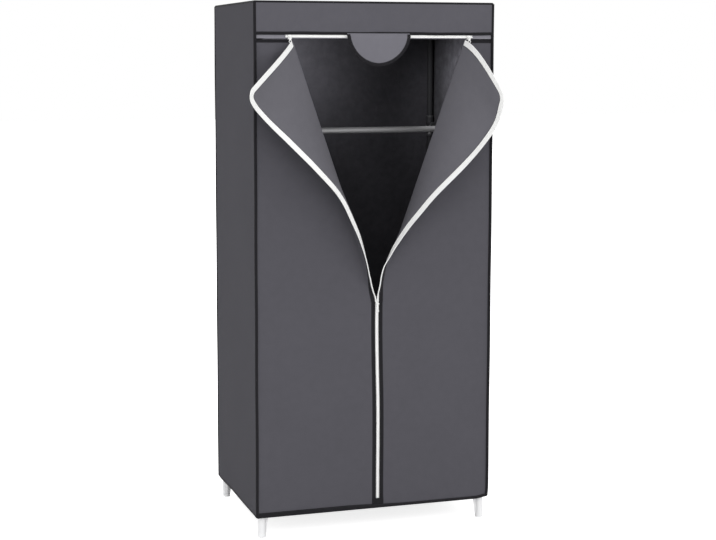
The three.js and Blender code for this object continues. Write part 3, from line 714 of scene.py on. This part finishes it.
# The two flaps. A flap's flat pattern lies in the front's plane with the flap shut, and drape() opens it.
# Each has its side, how far outside the fold its slider is parked, how many degrees it curls and how many
# mm it droops over CURL_LENGTH, and the share of its width that is left at the fold's top. Along its fold,
# from the closed zip up: how far it has opened and how its tape turns further, in degrees, and how far the
# free edge is drawn aside and up, in mm. Last, how far the middle of its top edge bows aside and up.
RIBS = OPENING_BOTTOM + np.array([0, 43, 84, 113, 155, 219, 298, 398, 498, 598, 698, 786.5])
PULLS = OPENING_BOTTOM + np.array([158, 258, 358, 458, 538, 618, 698, 748, 786.5])
FOLD = {
    "left": dict(
        side=-1, parked=5, curl=10, droop=12, share=1.0,
        opened=[28, 64, 84.7, 88.6, 88.8, 92.9, 102.9, 112.9, 125.9, 137.8, 146.5, 143.1],
        turned=[0, 0, 5.1, 8.8, 16.6, 32.3, 37.2, 29.2, 26.7, 17.5, -8.2, -8.3],
        aside=[-3.2, 0.4, 4.6, 2.9, 0.8, -2.5, -7.1, -14.5, -14.6],
        up=[-2.6, -2.5, -0.6, -0.2, 2.2, 4.9, 4.7, 1.6, 0.4],
        bow=(3.3, 0.2),
    ),
    "right": dict(
        side=1, parked=10, curl=22, droop=48, share=0.8,
        opened=[30, 50, 46.6, 47.9, 57.1, 75.6, 91.6, 103.2, 113.9, 121.8, 122.7, 116.0],
        turned=[0, 0, 0.6, 5.8, 26.9, 29.6, 21.4, 9.3, -4.0, -24.8, -12.5, 6.0],
        aside=[-0.5, -1.2, -0.4, 1.4, 1.9, 0.9, -2.0, -8.0, -7.5],
        up=[-2.2, -1.9, -1.9, -3.9, -6.3, -8.6, -10.9, -11.8, -11.5],
        bow=(4.0, 15.5),
    ),
}
for flap_name, flap in FOLD.items():
    slider_low, slider_high = span(flap_name + "_top_slider")
    # the slider is parked outside the fold's upper end
    top_x = (slider_low[0] + slider_high[0]) / 2 - flap["side"] * flap["parked"]
    flap["top"] = np.array([top_x, OPENING_TOP])
    flap["bottom"] = np.array([SEAM + flap["side"] * 0.8, OPENING_BOTTOM])
    flap["edge"] = flap["bottom"][0]
    flap["slope"] = abs((flap["top"] - flap["bottom"])[0] / (flap["top"] - flap["bottom"])[1])
TAPE_WIDTH = 15.5
CORNER = 30  # radius of the flap's free corner
CURL_LENGTH = 250
ROLL = 7  # how far the cloth takes to roll over at the fold
ZIP_START = OPENING_BOTTOM + 0.5


def fold_x(flap, z):
    """Where the fold line is at a height."""
    top, bottom = flap["top"], flap["bottom"]
    return top[0] + (bottom[0] - top[0]) * (top[1] - np.asarray(z, float)) / (top[1] - bottom[1])


def drape(flap, x, z):
    """Flat pattern to the open flap, round the soft roll of its fold. A point outside the fold stays flat."""
    x, z = np.broadcast_arrays(np.asarray(x, float), np.asarray(z, float))
    top, side = flap["top"], flap["side"]
    length = np.linalg.norm(flap["bottom"] - top)
    along = (flap["bottom"] - top) / length
    across = np.array([-side * abs(along[1]), abs(along[0])])
    from_x, from_z = x - top[0], z - top[1]
    down = from_x * along[0] + from_z * along[1]
    # the cloth is a little narrower towards the fold's top, by the flap's share
    widen = 1 - (1 - flap["share"]) * (1 - down / length) * (1 - 2 * down / length)
    out = (from_x * across[0] + from_z * across[1]) * widen
    wide = np.abs(flap["edge"] - fold_x(flap, z))
    reach = wide * abs(along[1]) * widen
    opened = curve(z, RIBS, flap["opened"])
    turn = curve(z, RIBS, flap["turned"]) * smooth(OPENING_BOTTOM + 84, OPENING_BOTTOM + 98, z)
    curl = flap["curl"] * smooth(OPENING_BOTTOM + 58, OPENING_BOTTOM + 298, z)
    steps = 40
    flat, forward = np.zeros_like(out), np.zeros_like(out)
    for k in range(steps):
        # finer steps where the cloth rolls over
        near, far = (k / steps) ** 2, ((k + 1) / steps) ** 2
        here = out * (near + far) / 2
        angle = opened + curl * (here / CURL_LENGTH - 0.5) + turn * smooth(reach - 26, reach - 10, here)
        angle = np.radians(angle * smooth(-1, ROLL, here))
        flat += np.cos(angle) * out * (far - near)
        forward += np.sin(angle) * out * (far - near)
    base_x, base_z = top[0] + along[0] * down, top[1] + along[1] * down
    base = spots(base_x, PANEL_MIDDLE, base_z)
    settled = (settle(base) - base) * (1 - smooth(0, 70, out))[..., None]
    share = np.clip(np.abs(x - fold_x(flap, z)) / np.maximum(wide, 12), 0, 1) * (out > 0)
    drawn = smooth(0, 1, share)
    bowed = smooth(OPENING_TOP - 110, OPENING_TOP, z) * 4 * share * (1 - share)
    aside = curve(z, PULLS, flap["aside"]) * drawn + flap["bow"][0] * bowed
    raised = curve(z, PULLS, flap["up"]) * drawn + flap["bow"][1] * bowed
    raised = raised - flap["droop"] * (out / CURL_LENGTH) ** 2
    open_x, open_z = base_x + across[0] * flat + aside, base_z + across[1] * flat + raised
    return spots(open_x, PANEL_MIDDLE - forward, open_z) + settled


def flap_cloth(name, flap):
    """The flap's cloth from its fold to 5 mm inside its free edges, with its flat area and size."""
    inset = 5
    radius, high = CORNER - inset, OPENING_TOP - inset
    turns = np.linspace(0, math.pi / 2, 9)[:-1]
    straight = stations(high - radius, OPENING_BOTTOM + 2 * inset / flap["slope"], 9)
    z = np.concatenate([high - radius * (1 - np.cos(turns)), straight])
    back = np.concatenate([radius * (1 - np.sin(turns)), 0 * straight])
    start = fold_x(flap, z)
    wide = flap["edge"] + flap["side"] * (inset + back) - start
    flat_x = start[:, None] + wide[:, None] * np.linspace(0, 1, 40) ** 1.15
    flat = spots(flat_x, z[:, None])
    points = drape(flap, flat_x, z[:, None])
    made = layered(name + "_flap_cloth", points, flat, cover_cloth, lining_cloth, mirrored=flap["side"] > 0)
    area = float(np.sum(np.abs(wide)[:-1] * np.abs(np.diff(z)))) * MM * MM
    return made, area, (float(np.ptp(flat_x)) * MM, float(np.ptp(z)) * MM)


def edge_line(flap, inset, low=ZIP_START):
    """The free edge's flat line, this far inside it: along the top, round the corner and down."""
    side, radius = flap["side"], CORNER - inset
    centre_x, centre_z = flap["edge"] + side * CORNER, OPENING_TOP - CORNER
    level = np.linspace(flap["top"][0] - side * (15 + inset * flap["slope"]), centre_x, 30)
    turns = np.linspace(0, math.pi / 2, 12)[1:]
    corner = spots(centre_x - side * radius * np.sin(turns), centre_z + radius * np.cos(turns))
    upright = spots(flap["edge"] + side * inset, stations(centre_z, low, 9)[1:])
    return np.concatenate([spots(level, OPENING_TOP - inset), corner, upright])


def ribbon(name, flap, insets, material, lift, columns=5, thickness=0.9, low=ZIP_START):
    """A strip sewn along the flap's free edge, between two distances inside it."""
    across = np.linspace(*insets, columns)
    lines = np.stack([edge_line(flap, inset, low) for inset in across], axis=1)
    points = drape(flap, lines[..., 0], lines[..., 1])
    cut = net(lengths(lines[:, 0]), across)[..., ::-1]
    return layered(name, points, cut, material, None, thickness, lift, mirrored=flap["side"] < 0)


def on_flap(flap, inset, lift, low=ZIP_START):
    """A line along the open flap's free edge, inside it and proud of its outer face, and its vectors."""
    points, inner = (drape(flap, *edge_line(flap, away, low).T) for away in (inset, inset + 2))
    inward = unit(inner - points)
    out = unit(np.cross(tangents(points), inward) * flap["side"])
    return points + out * lift, inward, out


def flaps():
    """Both flaps, with their zip tape and coil, bound edges and stitches."""
    for name, flap in FOLD.items():
        body = name + "_flap"
        cloth, area, flat = flap_cloth(name, flap)
        white = ribbon("tape", flap, (0, TAPE_WIDTH), tape, lift=-1.15)
        black = ribbon("band", flap, (5.5, 18), binding, lift=0.95)
        under = ribbon(
            body + "_inner_binding", flap, (13, 17.2), binding,
            lift=-0.85, columns=3, thickness=0.5, low=OPENING_BOTTOM + 50,
        )
        points, inward, out = on_flap(flap, 1.6, lift=-0.2)
        core = swept(points, rounded(2.8, 2.2, 1.0), out, coil)
        teeth = row([points], [inward], [out], TOOTH, length=3.2, radius=1.3, material=coil)
        bead = join([core, teeth], body + "_zip_coil")
        outer_rows = [on_flap(flap, inset, lift=1.45) for inset in (7.2, 16.4)]
        threads = stitches([each[0] for each in outer_rows], [each[2] for each in outer_rows], black_thread)
        black = join([black, threads], body + "_edge_binding")
        sewn, _, out = on_flap(flap, 12.6, lift=-1.65, low=OPENING_BOTTOM + 60)
        white = join([white, stitches([sewn], [-out], white_thread)], body + "_zip_tape")
        sewn_on = [white, black, under, bead]
        for made in (*sewn_on, cloth):
            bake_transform(made)
        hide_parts(body)
        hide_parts(body + "_tape")


def front_panels():
    """The closed cloth beside the opening and the zip, with its bound edges."""
    for name, flap in FOLD.items():
        side, panel = flap["side"], "front_panel_" + name
        outer, inner = side * CLOTH_X, SEAM + side * (SLOT / 2 + 1)
        beside_opening, below = stations(OPENING_TOP, OPENING_BOTTOM), stations(OPENING_BOTTOM, CLOTH_BOTTOM)
        z = np.concatenate([beside_opening[:-1], below])
        edge = np.where(z > OPENING_BOTTOM, fold_x(flap, z), inner)
        edge = side * np.maximum(side * edge, side * inner)
        x = outer + (edge - outer)[:, None] * np.linspace(0, 1, 34)
        points, cut = settle(spots(x, PANEL_MIDDLE, z[:, None])), spots(x, z[:, None])
        cloth = layered(panel + "_cloth", points, cut, cover_cloth, shaded_inner_cloth, mirrored=side > 0)
        middle, y = SEAM + side * (SLOT + EDGE_BINDING) / 2, PANEL_MIDDLE - 0.1
        upright = spots(middle, y, stations(ZIP_BOTTOM - 4, ZIP_START, 9))
        top_x = stations(outer, fold_x(flap, OPENING_TOP) + side * 5, 10)
        level = spots(top_x, y, OPENING_TOP - TOP_BINDING / 2)
        bands = [
            swept(settle(path), rounded(width, 2.8, 1.2), FORWARD, binding)
            for path, width in ((upright, EDGE_BINDING), (level, TOP_BINDING))
        ]
        sewn = [upright + (-4.6, 0, 0), upright + (4.6, 0, 0), level + (0, 0, -3.0)]
        threads = stitches([settle(line) + FORWARD * 1.42 for line in sewn], [FORWARD] * 3, black_thread)
        bands = join([*bands, threads], panel + "_binding")
        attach(bands, "wardrobe")
        dress(cloth, panel)


def zip_half(node, points, cut, path, core, line, lie, rod):
    """Zip tape with its coil: a core along a path, and teeth along a line that all lie one way.

    Core is its section's width, height and corner radius, rod is a tooth's length and radius.
    """
    white = layered("tape", points, cut, tape, thickness=0.9)
    bead = swept(path, rounded(*core), FORWARD, coil)
    teeth = row([line], [lie], [FORWARD], TOOTH, *rod, coil)
    dress(join([white, bead, teeth], node + "_half"), node)


def zips():
    """The closed zip down the middle, and the upper half of the two top zips."""
    y = np.mean([corner[1] for corner in span("centre_zip_left")])
    z = stations(OPENING_BOTTOM, ZIP_BOTTOM - 3, 9)
    for name, side in (("left", -1), ("right", 1)):
        grid = net(z, np.sort(SEAM + side * np.linspace(0.9, 12.5, 4)))
        points = settle(spots(grid[..., 1], y, grid[..., 0]))
        path = spots(SEAM + side * 2.0, y - 1.0, z[::-1])
        line = settle(path + side * np.array([-0.5, 0, 0.55]))
        core, rod = (2.6, 2.0, 0.9), (3.4, 1.25)
        zip_half("centre_zip_" + name, points, grid[..., ::-1], settle(path), core, line, (1, 0, 0), rod)
    low, high = span("header_zip")
    x = stations(low[0], high[0], 9)
    grid = net(np.linspace(high[2], low[2] + 2.9, 4), x)
    points = spots(grid[..., 1], high[1] - 0.5, grid[..., 0])
    path = spots(x, high[1] - 1.3, low[2] + 3.9)
    zip_half("header_zip", points, grid, path, (2.8, 2.0, 0.9), path, UP, (3.2, 1.2))


def zip_tab():
    """The half-round tab that hangs over the meeting of the zips, with its dark bound edge."""
    low, high = span("zip_cover_tab")
    root_y = span("valance_binding")[0][1] - 1.05
    edge = 9.5
    half, drop, top = (high[0] - low[0]) / 2, high[2] - low[2] + edge, high[2]
    depth = root_y - low[1] - 1.0
    blunt = 1.9  # the rim's power: 2 is an ellipse, less is more pointed
    shares = [0, 0.05, 0.12, 0.3, 0.6, 1]
    bulges = [0, 0.5, 0.94, 1, 0.9, 0.6]

    def hung(x, down):
        """A place on the tab: across from the seam, down from its root."""
        return spots(SEAM + x, root_y - depth * np.interp(down / drop, shares, bulges), top - down)

    def rim(inset, turns):
        x = (half - inset) * np.sign(turns) * np.abs(np.sin(turns)) ** (2 / blunt)
        return x, (drop - inset) * np.cos(turns) ** (2 / blunt)

    t = np.sin(np.linspace(-1, 1, 61) * math.pi / 2) * 0.998
    rows = np.linspace(0, 1, 26) ** 1.3
    x = np.broadcast_to(t * (half - 1), (len(rows), len(t)))
    down = rows[:, None] * (1 - np.abs(t) ** blunt) ** (1 / blunt) * (drop - 1)
    cloth = layered("zip_tab_cloth", hung(x, down), spots(x, -down), tab_cloth, tab_cloth)
    turns = np.linspace(-1.53, 1.53, 121)
    x, down = np.stack([rim(inset, turns) for inset in np.linspace(edge, 0, 5)], axis=1)
    band = layered("band", hung(x, down), spots(x, -down), binding, thickness=2.9)
    threads = stitches([hung(*rim(edge - 1.8, turns)) + FORWARD * 1.5], [FORWARD], black_thread)
    band = join([band, threads], "zip_tab_edge")
    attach(band, "zip_cover_tab")
    dress(cloth, "zip_cover_tab", "zip_cover_tab")


def base_shelf():
    """Cloth laid over the front and rear base rails, sagging a little between them."""
    low, high = span("base_shelf")
    grid = net(stations(high[1], low[1], 14), stations(low[0], high[0], 14))
    y, x = grid[..., 0], grid[..., 1]
    inside = (1 - (y / high[1]) ** 2).clip(0)
    z = low[2] + 0.7 - (5 + 0.8 * ripple(x, y, 4.2)) * inside
    made = layered("base_shelf_cloth", spots(x, y, z), grid[..., ::-1], shelf_cloth)
    dress(made, "base_shelf")


# Frame


def lathed(start, axis, profile, material, sides=40, ribs=None):
    """A turned shape from its start along an axis. Its profile of distances and radii closes on itself.

    Ribs run along it from low to high, where its radius is over a least one.
    """
    axis = np.asarray(axis, float)
    first = unit(np.cross(UP if abs(axis[2]) < 0.9 else (1.0, 0, 0), axis))
    second = np.cross(axis, first)
    angles = np.arange(sides) * 2 * math.pi / sides
    points = []
    for distance, radius in profile:
        reach = np.full(sides, float(radius))
        if ribs and ribs["low"] <= distance <= ribs["high"] and radius > ribs["least"]:
            reach += ribs["height"] * (np.cos(angles * ribs["count"]) > 0.55)
        spokes = np.cos(angles)[:, None] * first + np.sin(angles)[:, None] * second
        points.append(np.asarray(start) + axis * distance + reach[:, None] * spokes)
    return piece("part", at(np.concatenate(points)), ring_faces(len(profile), sides), [material])


def tube(node):
    """A hollow steel tube with softly rounded ends, where its CAD node is."""
    low, high = span(node)
    along = int(np.argmax(high - low))
    length = float((high - low)[along])
    start = (low + high) / 2
    start[along] = low[along]
    wall_in, soft = TUBE - 0.9, TUBE - 0.4
    profile = [(0, wall_in), (0, soft), (0.4, TUBE), (length - 0.4, TUBE), (length, soft), (length, wall_in)]
    # the posts and rails take the darkened powder coat, painted shade
    material, slot = (rail_steel, "rail_tube") if node == "hanging_rail" else (steel, "frame_tube")
    dress(join([lathed(start, np.eye(3)[along], profile, material)], node + "_tube"), node)


def frame_tubes():
    for node in sorted(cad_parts):
        if "_post_" in node or "_rail_" in node or node == "hanging_rail":
            tube(node)


def sleeve(centre, axis, material, length=34):
    """A socket from a connector's centre: a plain throat, a collar at the mouth and low ribs between."""
    outer, bore = SOCKET, TUBE + 0.2
    profile = [
        (0, bore), (0, outer - 0.9), (length * 0.3, outer - 0.9), (length * 0.32, outer - 0.5),
        (length - 6.5, outer - 0.5), (length - 6, outer - 0.1), (length - 5.6, outer), (length - 0.7, outer),
        (length - 0.2, outer - 0.35), (length, outer - 0.8), (length, bore),
    ]
    ribs = dict(low=length * 0.31, high=length - 6.4, height=0.45, count=8, least=outer - 1.5)
    return lathed(centre, axis, profile, material, 48, ribs)


def ball(centre, radius, material):
    """A closed round hub."""
    turns = np.linspace(0.02, math.pi - 0.02, 14)
    profile = [(radius * (1 - math.cos(t)), radius * math.sin(t)) for t in turns]
    return lathed(centre - radius * UP, UP, profile, material)


def plate(outline, low, high, material, edge=0.4, centre=(0, 0, 0), way=(1, 0, 0), crease=50):
    """A flat piece with softened edges. Its outline lies along a level way and up, anticlockwise from low."""
    outline, way = np.asarray(outline, float), np.asarray(way, float)
    middle = outline.mean(axis=0)
    shrunk = outline - unit(outline - middle) * edge
    loops = [
        np.asarray(centre) + line[:, :1] * way + line[:, 1:] * UP + offset * np.cross(UP, way)
        for offset, line in ((low, shrunk), (low + edge, outline), (high - edge, outline), (high, shrunk))
    ]
    n = len(outline)
    faces = end_faces(4, n) + ring_faces(4, n, closed=False, turned=True)
    return piece("part", at(np.concatenate(loops)), faces, [material], crease=crease)


def leg(centre, ways):
    """The leg below a corner piece, with shallow flutes, a bead at its foot and a fin under each rail."""
    height = centre[2]
    profile = [
        (0, 2), (0, 11), (6, 11.3), (7, 10.7), (height - 8, 11.5), (height - 7, 12), (height - 1.4, 12),
        (height - 0.4, 11.7), (height, 11), (height, 2),
    ]
    flutes = dict(low=6.5, high=height - 7.5, height=0.5, count=10, least=9)
    parts = [lathed(centre, -UP, profile, plastic, 60, flutes)]
    low, thick = 9 - height, 2.4
    fin = [(4, -4), (4, low), (11.5, low), (13, low + 1.2), (22, -4)]
    for way in ways:
        parts.append(plate(fin, -thick / 2, thick / 2, plastic, 0.5, centre, way, crease=30))
    return parts


def connectors():
    """Moulded corner pieces: a hub with a sleeve for each tube, and a ribbed leg under each lower one."""
    for name, side_x, side_y in (
        ("front_left", -1, -1), ("front_right", 1, -1), ("rear_left", -1, 1), ("rear_right", 1, 1),
    ):
        x, y = np.add(*span("lower_post_" + name))[:2] / 2
        in_x, in_y = np.array([-side_x, 0, 0.0]), np.array([0, -side_y, 0.0])
        for level, rail, ways, material, slot in (
            ("foot", "base_rail_front", [UP, in_x, in_y], plastic, "leg_plastic"),
            # the middle and top corner pieces take the darkened plastic, painted shade
            ("middle", "hanging_rail", [UP, -UP, in_y], shaded_plastic, "connector_plastic"),
            ("top", "top_rail_front", [-UP, in_x, in_y], shaded_plastic, "connector_plastic"),
        ):
            centre = np.array([x, y, np.add(*span(rail))[2] / 2])
            parts = [ball(centre, SOCKET - 0.2, material)] + [sleeve(centre, way, material) for way in ways]
            if level == "foot":
                parts += leg(centre, [in_x, in_y])
            node = level + "_connector_" + name
            dress(join(parts, node + "_moulding"), node)
    for name, side in (("left", -1), ("right", 1)):
        middle = np.add(*span("side_rail_" + name)) / 2
        centre = np.array([middle[0], 0, middle[2]])
        # the tees take the darkened plastic, painted shade
        parts = [sleeve(centre + 0.1 * way, -way, shaded_plastic, 17) for way in (FORWARD, -FORWARD)]
        parts.append(sleeve(centre, (-side, 0, 0), shaded_plastic))
        dress(join(parts, "rail_tee_" + name + "_moulding"), "rail_tee_" + name)


# Sliders and pulls


def soften(corners, radius, steps=4):
    """The same outline with its corners rounded off."""
    made = []
    corners = np.asarray(corners, float)
    for before, here, after in zip(np.roll(corners, 1, axis=0), corners, np.roll(corners, -1, axis=0)):
        reach = min(radius, np.linalg.norm(before - here) / 2.2, np.linalg.norm(after - here) / 2.2)
        a, b = here + unit(before - here) * reach, here + unit(after - here) * reach
        for t in np.linspace(0, 1, steps + 1):
            made.append((1 - t) ** 2 * a + 2 * t * (1 - t) * here + t**2 * b)
    return made


def block(left, right, low, high, radius):
    """Outline of a rectangle with round corners."""
    return soften([(left, high), (left, low), (right, low), (right, high)], radius)


def pull_ring(pin, length, name):
    """A cast pull: a barrel on the pin, a blade and a ring at its end."""
    x, y, z = pin
    width, ring, hole, thick = 6.4, 4.5, 2.6, 1.2
    centre = z - length + ring
    outer, inner = [], []
    for t in np.linspace(0, 2 * math.pi, 33)[:-1]:
        a, b = math.sin(t), math.cos(t)
        px, pz = ring * a, ring * b
        if b > 0:
            # the ring's upper half is drawn up into the blade
            px = math.copysign(min(abs(px), width / 2) if b > 0.45 else abs(px), px)
            pz += smooth(0.45, 0.9, b) * (z - 0.6 - centre - ring)
        outer.append((x + px, centre + float(pz)))
        inner.append((x + hole * a, centre + hole * b))
    edges = ((-thick / 2, 0.35), (-thick / 2 + 0.3, 0), (thick / 2 - 0.3, 0), (thick / 2, 0.35))
    loops = [
        [(a + (x - a) * inset / 5, y + offset, b + (centre - b) * inset / 9) for a, b in outer]
        for offset, inset in edges
    ] + [
        [(a + (a - x) * inset / 3, y + offset, b + (b - centre) * inset / 3) for a, b in inner]
        for offset, inset in edges[::-1]
    ]
    faces = ring_faces(len(loops), len(outer))
    blade = piece("part", at(np.array(loops).reshape(-1, 3)), faces, [enamel], crease=50)
    profile = [(0, 1.15), (0, 1.8), (0.3, 2.1), (width - 0.3, 2.1), (width, 1.8), (width, 1.15)]
    barrel = lathed((x - width / 2, y, z), (1, 0, 0), profile, enamel, 24)
    return join([blade, barrel], name)


def ears(x, y, z, face):
    """The pin that carries a pull, and its two ears."""
    half = 3.75
    made = []
    for side in (-1, 1):
        middle = x + side * (half + 0.5)
        outline = block(middle - 0.75, middle + 0.75, z - 1.6, z + 1.6, 0.3)
        made.append(plate(outline, y - 1.5, face + 0.3, enamel, 0.2))
    long = 2 * half + 2
    profile = [(0, 0.1), (0, 0.7), (0.2, 0.9), (long - 0.2, 0.9), (long, 0.7), (long, 0.1)]
    made.append(lathed((x - half - 1, y, z), (1, 0, 0), profile, enamel, 16))
    return made


def slider(node, pull, outline, web, pin, face, back, thick, web_edge, length):
    """A slider: a plate on either face of the zip, a web between them, ears, and the pull on their pin.

    Thick is the thickness of its front and its back plate, length the pull's.
    """
    parts = [
        plate(outline, face, face + thick[0], enamel),
        plate(outline, back - thick[1], back, enamel),
        plate(*web, enamel, web_edge),
        *ears(*pin, face),
    ]
    dress(join(parts, node + "_casting"), node, node)
    dress(pull_ring(pin, length, pull + "_casting"), pull, pull)


def sliders():
    before_face = 3.4  # from a slider's pin to its face
    low, high = span("centre_slider")
    x, _, z = (low + high) / 2
    half_width, half_height = (high[0] - low[0]) / 2, (high[2] - low[2]) / 2
    face, back = low[1] + before_face + 1.2, high[1]
    shield = ((-1, 1), (-1, 0), (-0.72, -1), (0.72, -1), (1, 0), (1, 1))
    outline = soften([(x + a * half_width, z + b * half_height) for a, b in shield], 1.6)
    web = (block(x - 0.5, x + 0.5, high[2] - 5, high[2], 0.2), face + 1.8, back - 0.9)
    pin = (x, face - before_face, z + half_height / 2)
    plates = dict(face=face, back=back, thick=(2.2, 1.8), web_edge=0.1)
    slider("centre_slider", "centre_pull", outline, web, pin, length=27, **plates)
    for name in ("left", "right"):
        low, high = span(name + "_top_slider")
        x, _, z = (low + high) / 2
        pin = (x, np.add(*span(name + "_top_pull"))[1] / 2, z)
        face, back = pin[1] + before_face, high[1]
        outline = block(low[0], high[0], low[2], high[2], 2.2)
        web = (block(low[0] + 0.6, high[0] - 0.6, low[2] + 0.1, low[2] + 2.1, 0.5), face + 1, back - 1)
        plates = dict(face=face, back=back, thick=(1.8, 1.8), web_edge=0.3)
        slider(name + "_top_slider", name + "_top_pull", outline, web, pin, length=17, **plates)


# The room

ROOM_LIGHT = 0.85
WHITE = (1, 1, 1, 1)


def seen_rays(tree):
    """1 for the rays that show the background: straight ones, and those in a gloss or through glass."""
    paths = new_node(tree, "ShaderNodeLightPath").outputs
    seen = paths["Is Camera Ray"]
    for name in ("Is Glossy Ray", "Is Transmission Ray"):
        larger = new_node(tree, "ShaderNodeMath", {"operation": "MAXIMUM"}, {0: seen, 1: paths[name]})
        seen = larger.outputs[0]
    return seen


def backdrop():
    """A plain pale floor, white to the camera but for the soft shadow on it, and a white room."""
    corners = 30 * np.array([(-1, -1, 0), (1, -1, 0), (1, 1, 0), (-1, 1, 0)])
    finish = Finish("pale floor", base_color=(0.86, 0.86, 0.86, 1), roughness=0.9, specular_ior_level=0.0)
    place = finish.place()
    distance = (finish.part(place, 0) ** 2 + finish.part(place, 1) ** 2) ** 0.5
    share = Wire(finish, seen_rays(finish.tree)) * (distance.step(0.6, 6) * 0.12 + 0.88)
    dark = finish.node("ShaderNodeEmission", {}, {"Color": (0, 0, 0, 1), "Strength": 0.0})
    shine = finish.node("ShaderNodeEmission", {}, {"Color": WHITE, "Strength": 0.9})
    extra = finish.node("ShaderNodeMixShader", {}, {0: share, 1: dark, 2: shine})
    both = finish.node("ShaderNodeAddShader", {}, {0: finish.shader.outputs[0], 1: extra})
    finish.tree.links.new(both.socket, finish.surface)
    piece("floor", corners, [(0, 1, 2, 3)], [finish.material])

    world = bpy.data.worlds.new("white room")
    bpy.context.scene.world = world
    world.use_nodes = True
    tree = world.node_tree
    tree.nodes.clear()
    light, white = (
        new_node(tree, "ShaderNodeBackground", {}, {"Color": WHITE, "Strength": strength}).outputs[0]
        for strength in (ROOM_LIGHT, 1.0)
    )
    mix = new_node(tree, "ShaderNodeMixShader", {}, {0: seen_rays(tree), 1: light, 2: white})
    new_node(tree, "ShaderNodeOutputWorld", {}, {"Surface": mix.outputs[0]})


def lamp(name, place, target, size, watts, spread=180):
    """A soft square lamp that faces a point and isn't seen itself."""
    data = bpy.data.lights.new(name, "AREA")
    data.shape = "SQUARE"
    data.size = size
    data.energy = watts
    data.spread = math.radians(spread)
    made = bpy.data.objects.new(name, data)
    made.visible_camera = False
    bpy.context.scene.collection.objects.link(made)
    made.location = Vector(place)
    made.rotation_mode = "QUATERNION"
    made.rotation_quaternion = (Vector(target) - Vector(place)).to_track_quat("-Z", "Y")


def lamps():
    """Three soft studio lamps, and two small ones inside for the light that comes through the cloth."""
    lamp("key lamp", (-1.6, -4.4, 3.0), (0, 0, 0.9), 2.4, 54)
    lamp("right lamp", (3.6, -3.4, 2.2), (0, 0, 0.9), 2.0, 16)
    lamp("top lamp", (0.2, 0.4, 5.0), (0, 0, 1.0), 3.0, 23)
    lamp("light through the left side", at((-230, -20, 1430)), at((-150, 248, 1400)), 0.2, 1.0, 110)
    lamp("light through the roof", at((150, -90, 1480)), at((371, 40, 1340)), 0.1, 0.42, 80)


def camera():
    """The photograph's own viewpoint: a little above the object's middle, to the left of its front."""
    data = bpy.data.cameras.new("camera")
    data.sensor_fit = "HORIZONTAL"
    data.sensor_width = 36
    data.lens = 76.809
    data.shift_x = 0.0419
    data.shift_y = -0.0419
    data.clip_end = 200
    made = bpy.data.objects.new("camera", data)
    bpy.context.scene.collection.objects.link(made)
    made.location = at((-1489.6, -4553.9, 1439.2))
    made.rotation_euler = (math.radians(83.149), 0, math.radians(-17.275))
    bpy.context.scene.camera = made


camera()
lamps()
backdrop()
cover_walls()
piping()
hem_band()
valance()
front_panels()
flaps()
zips()
zip_tab()
base_shelf()
frame_tubes()
connectors()
sliders()

bpy.context.scene.view_settings.view_transform = "Standard"
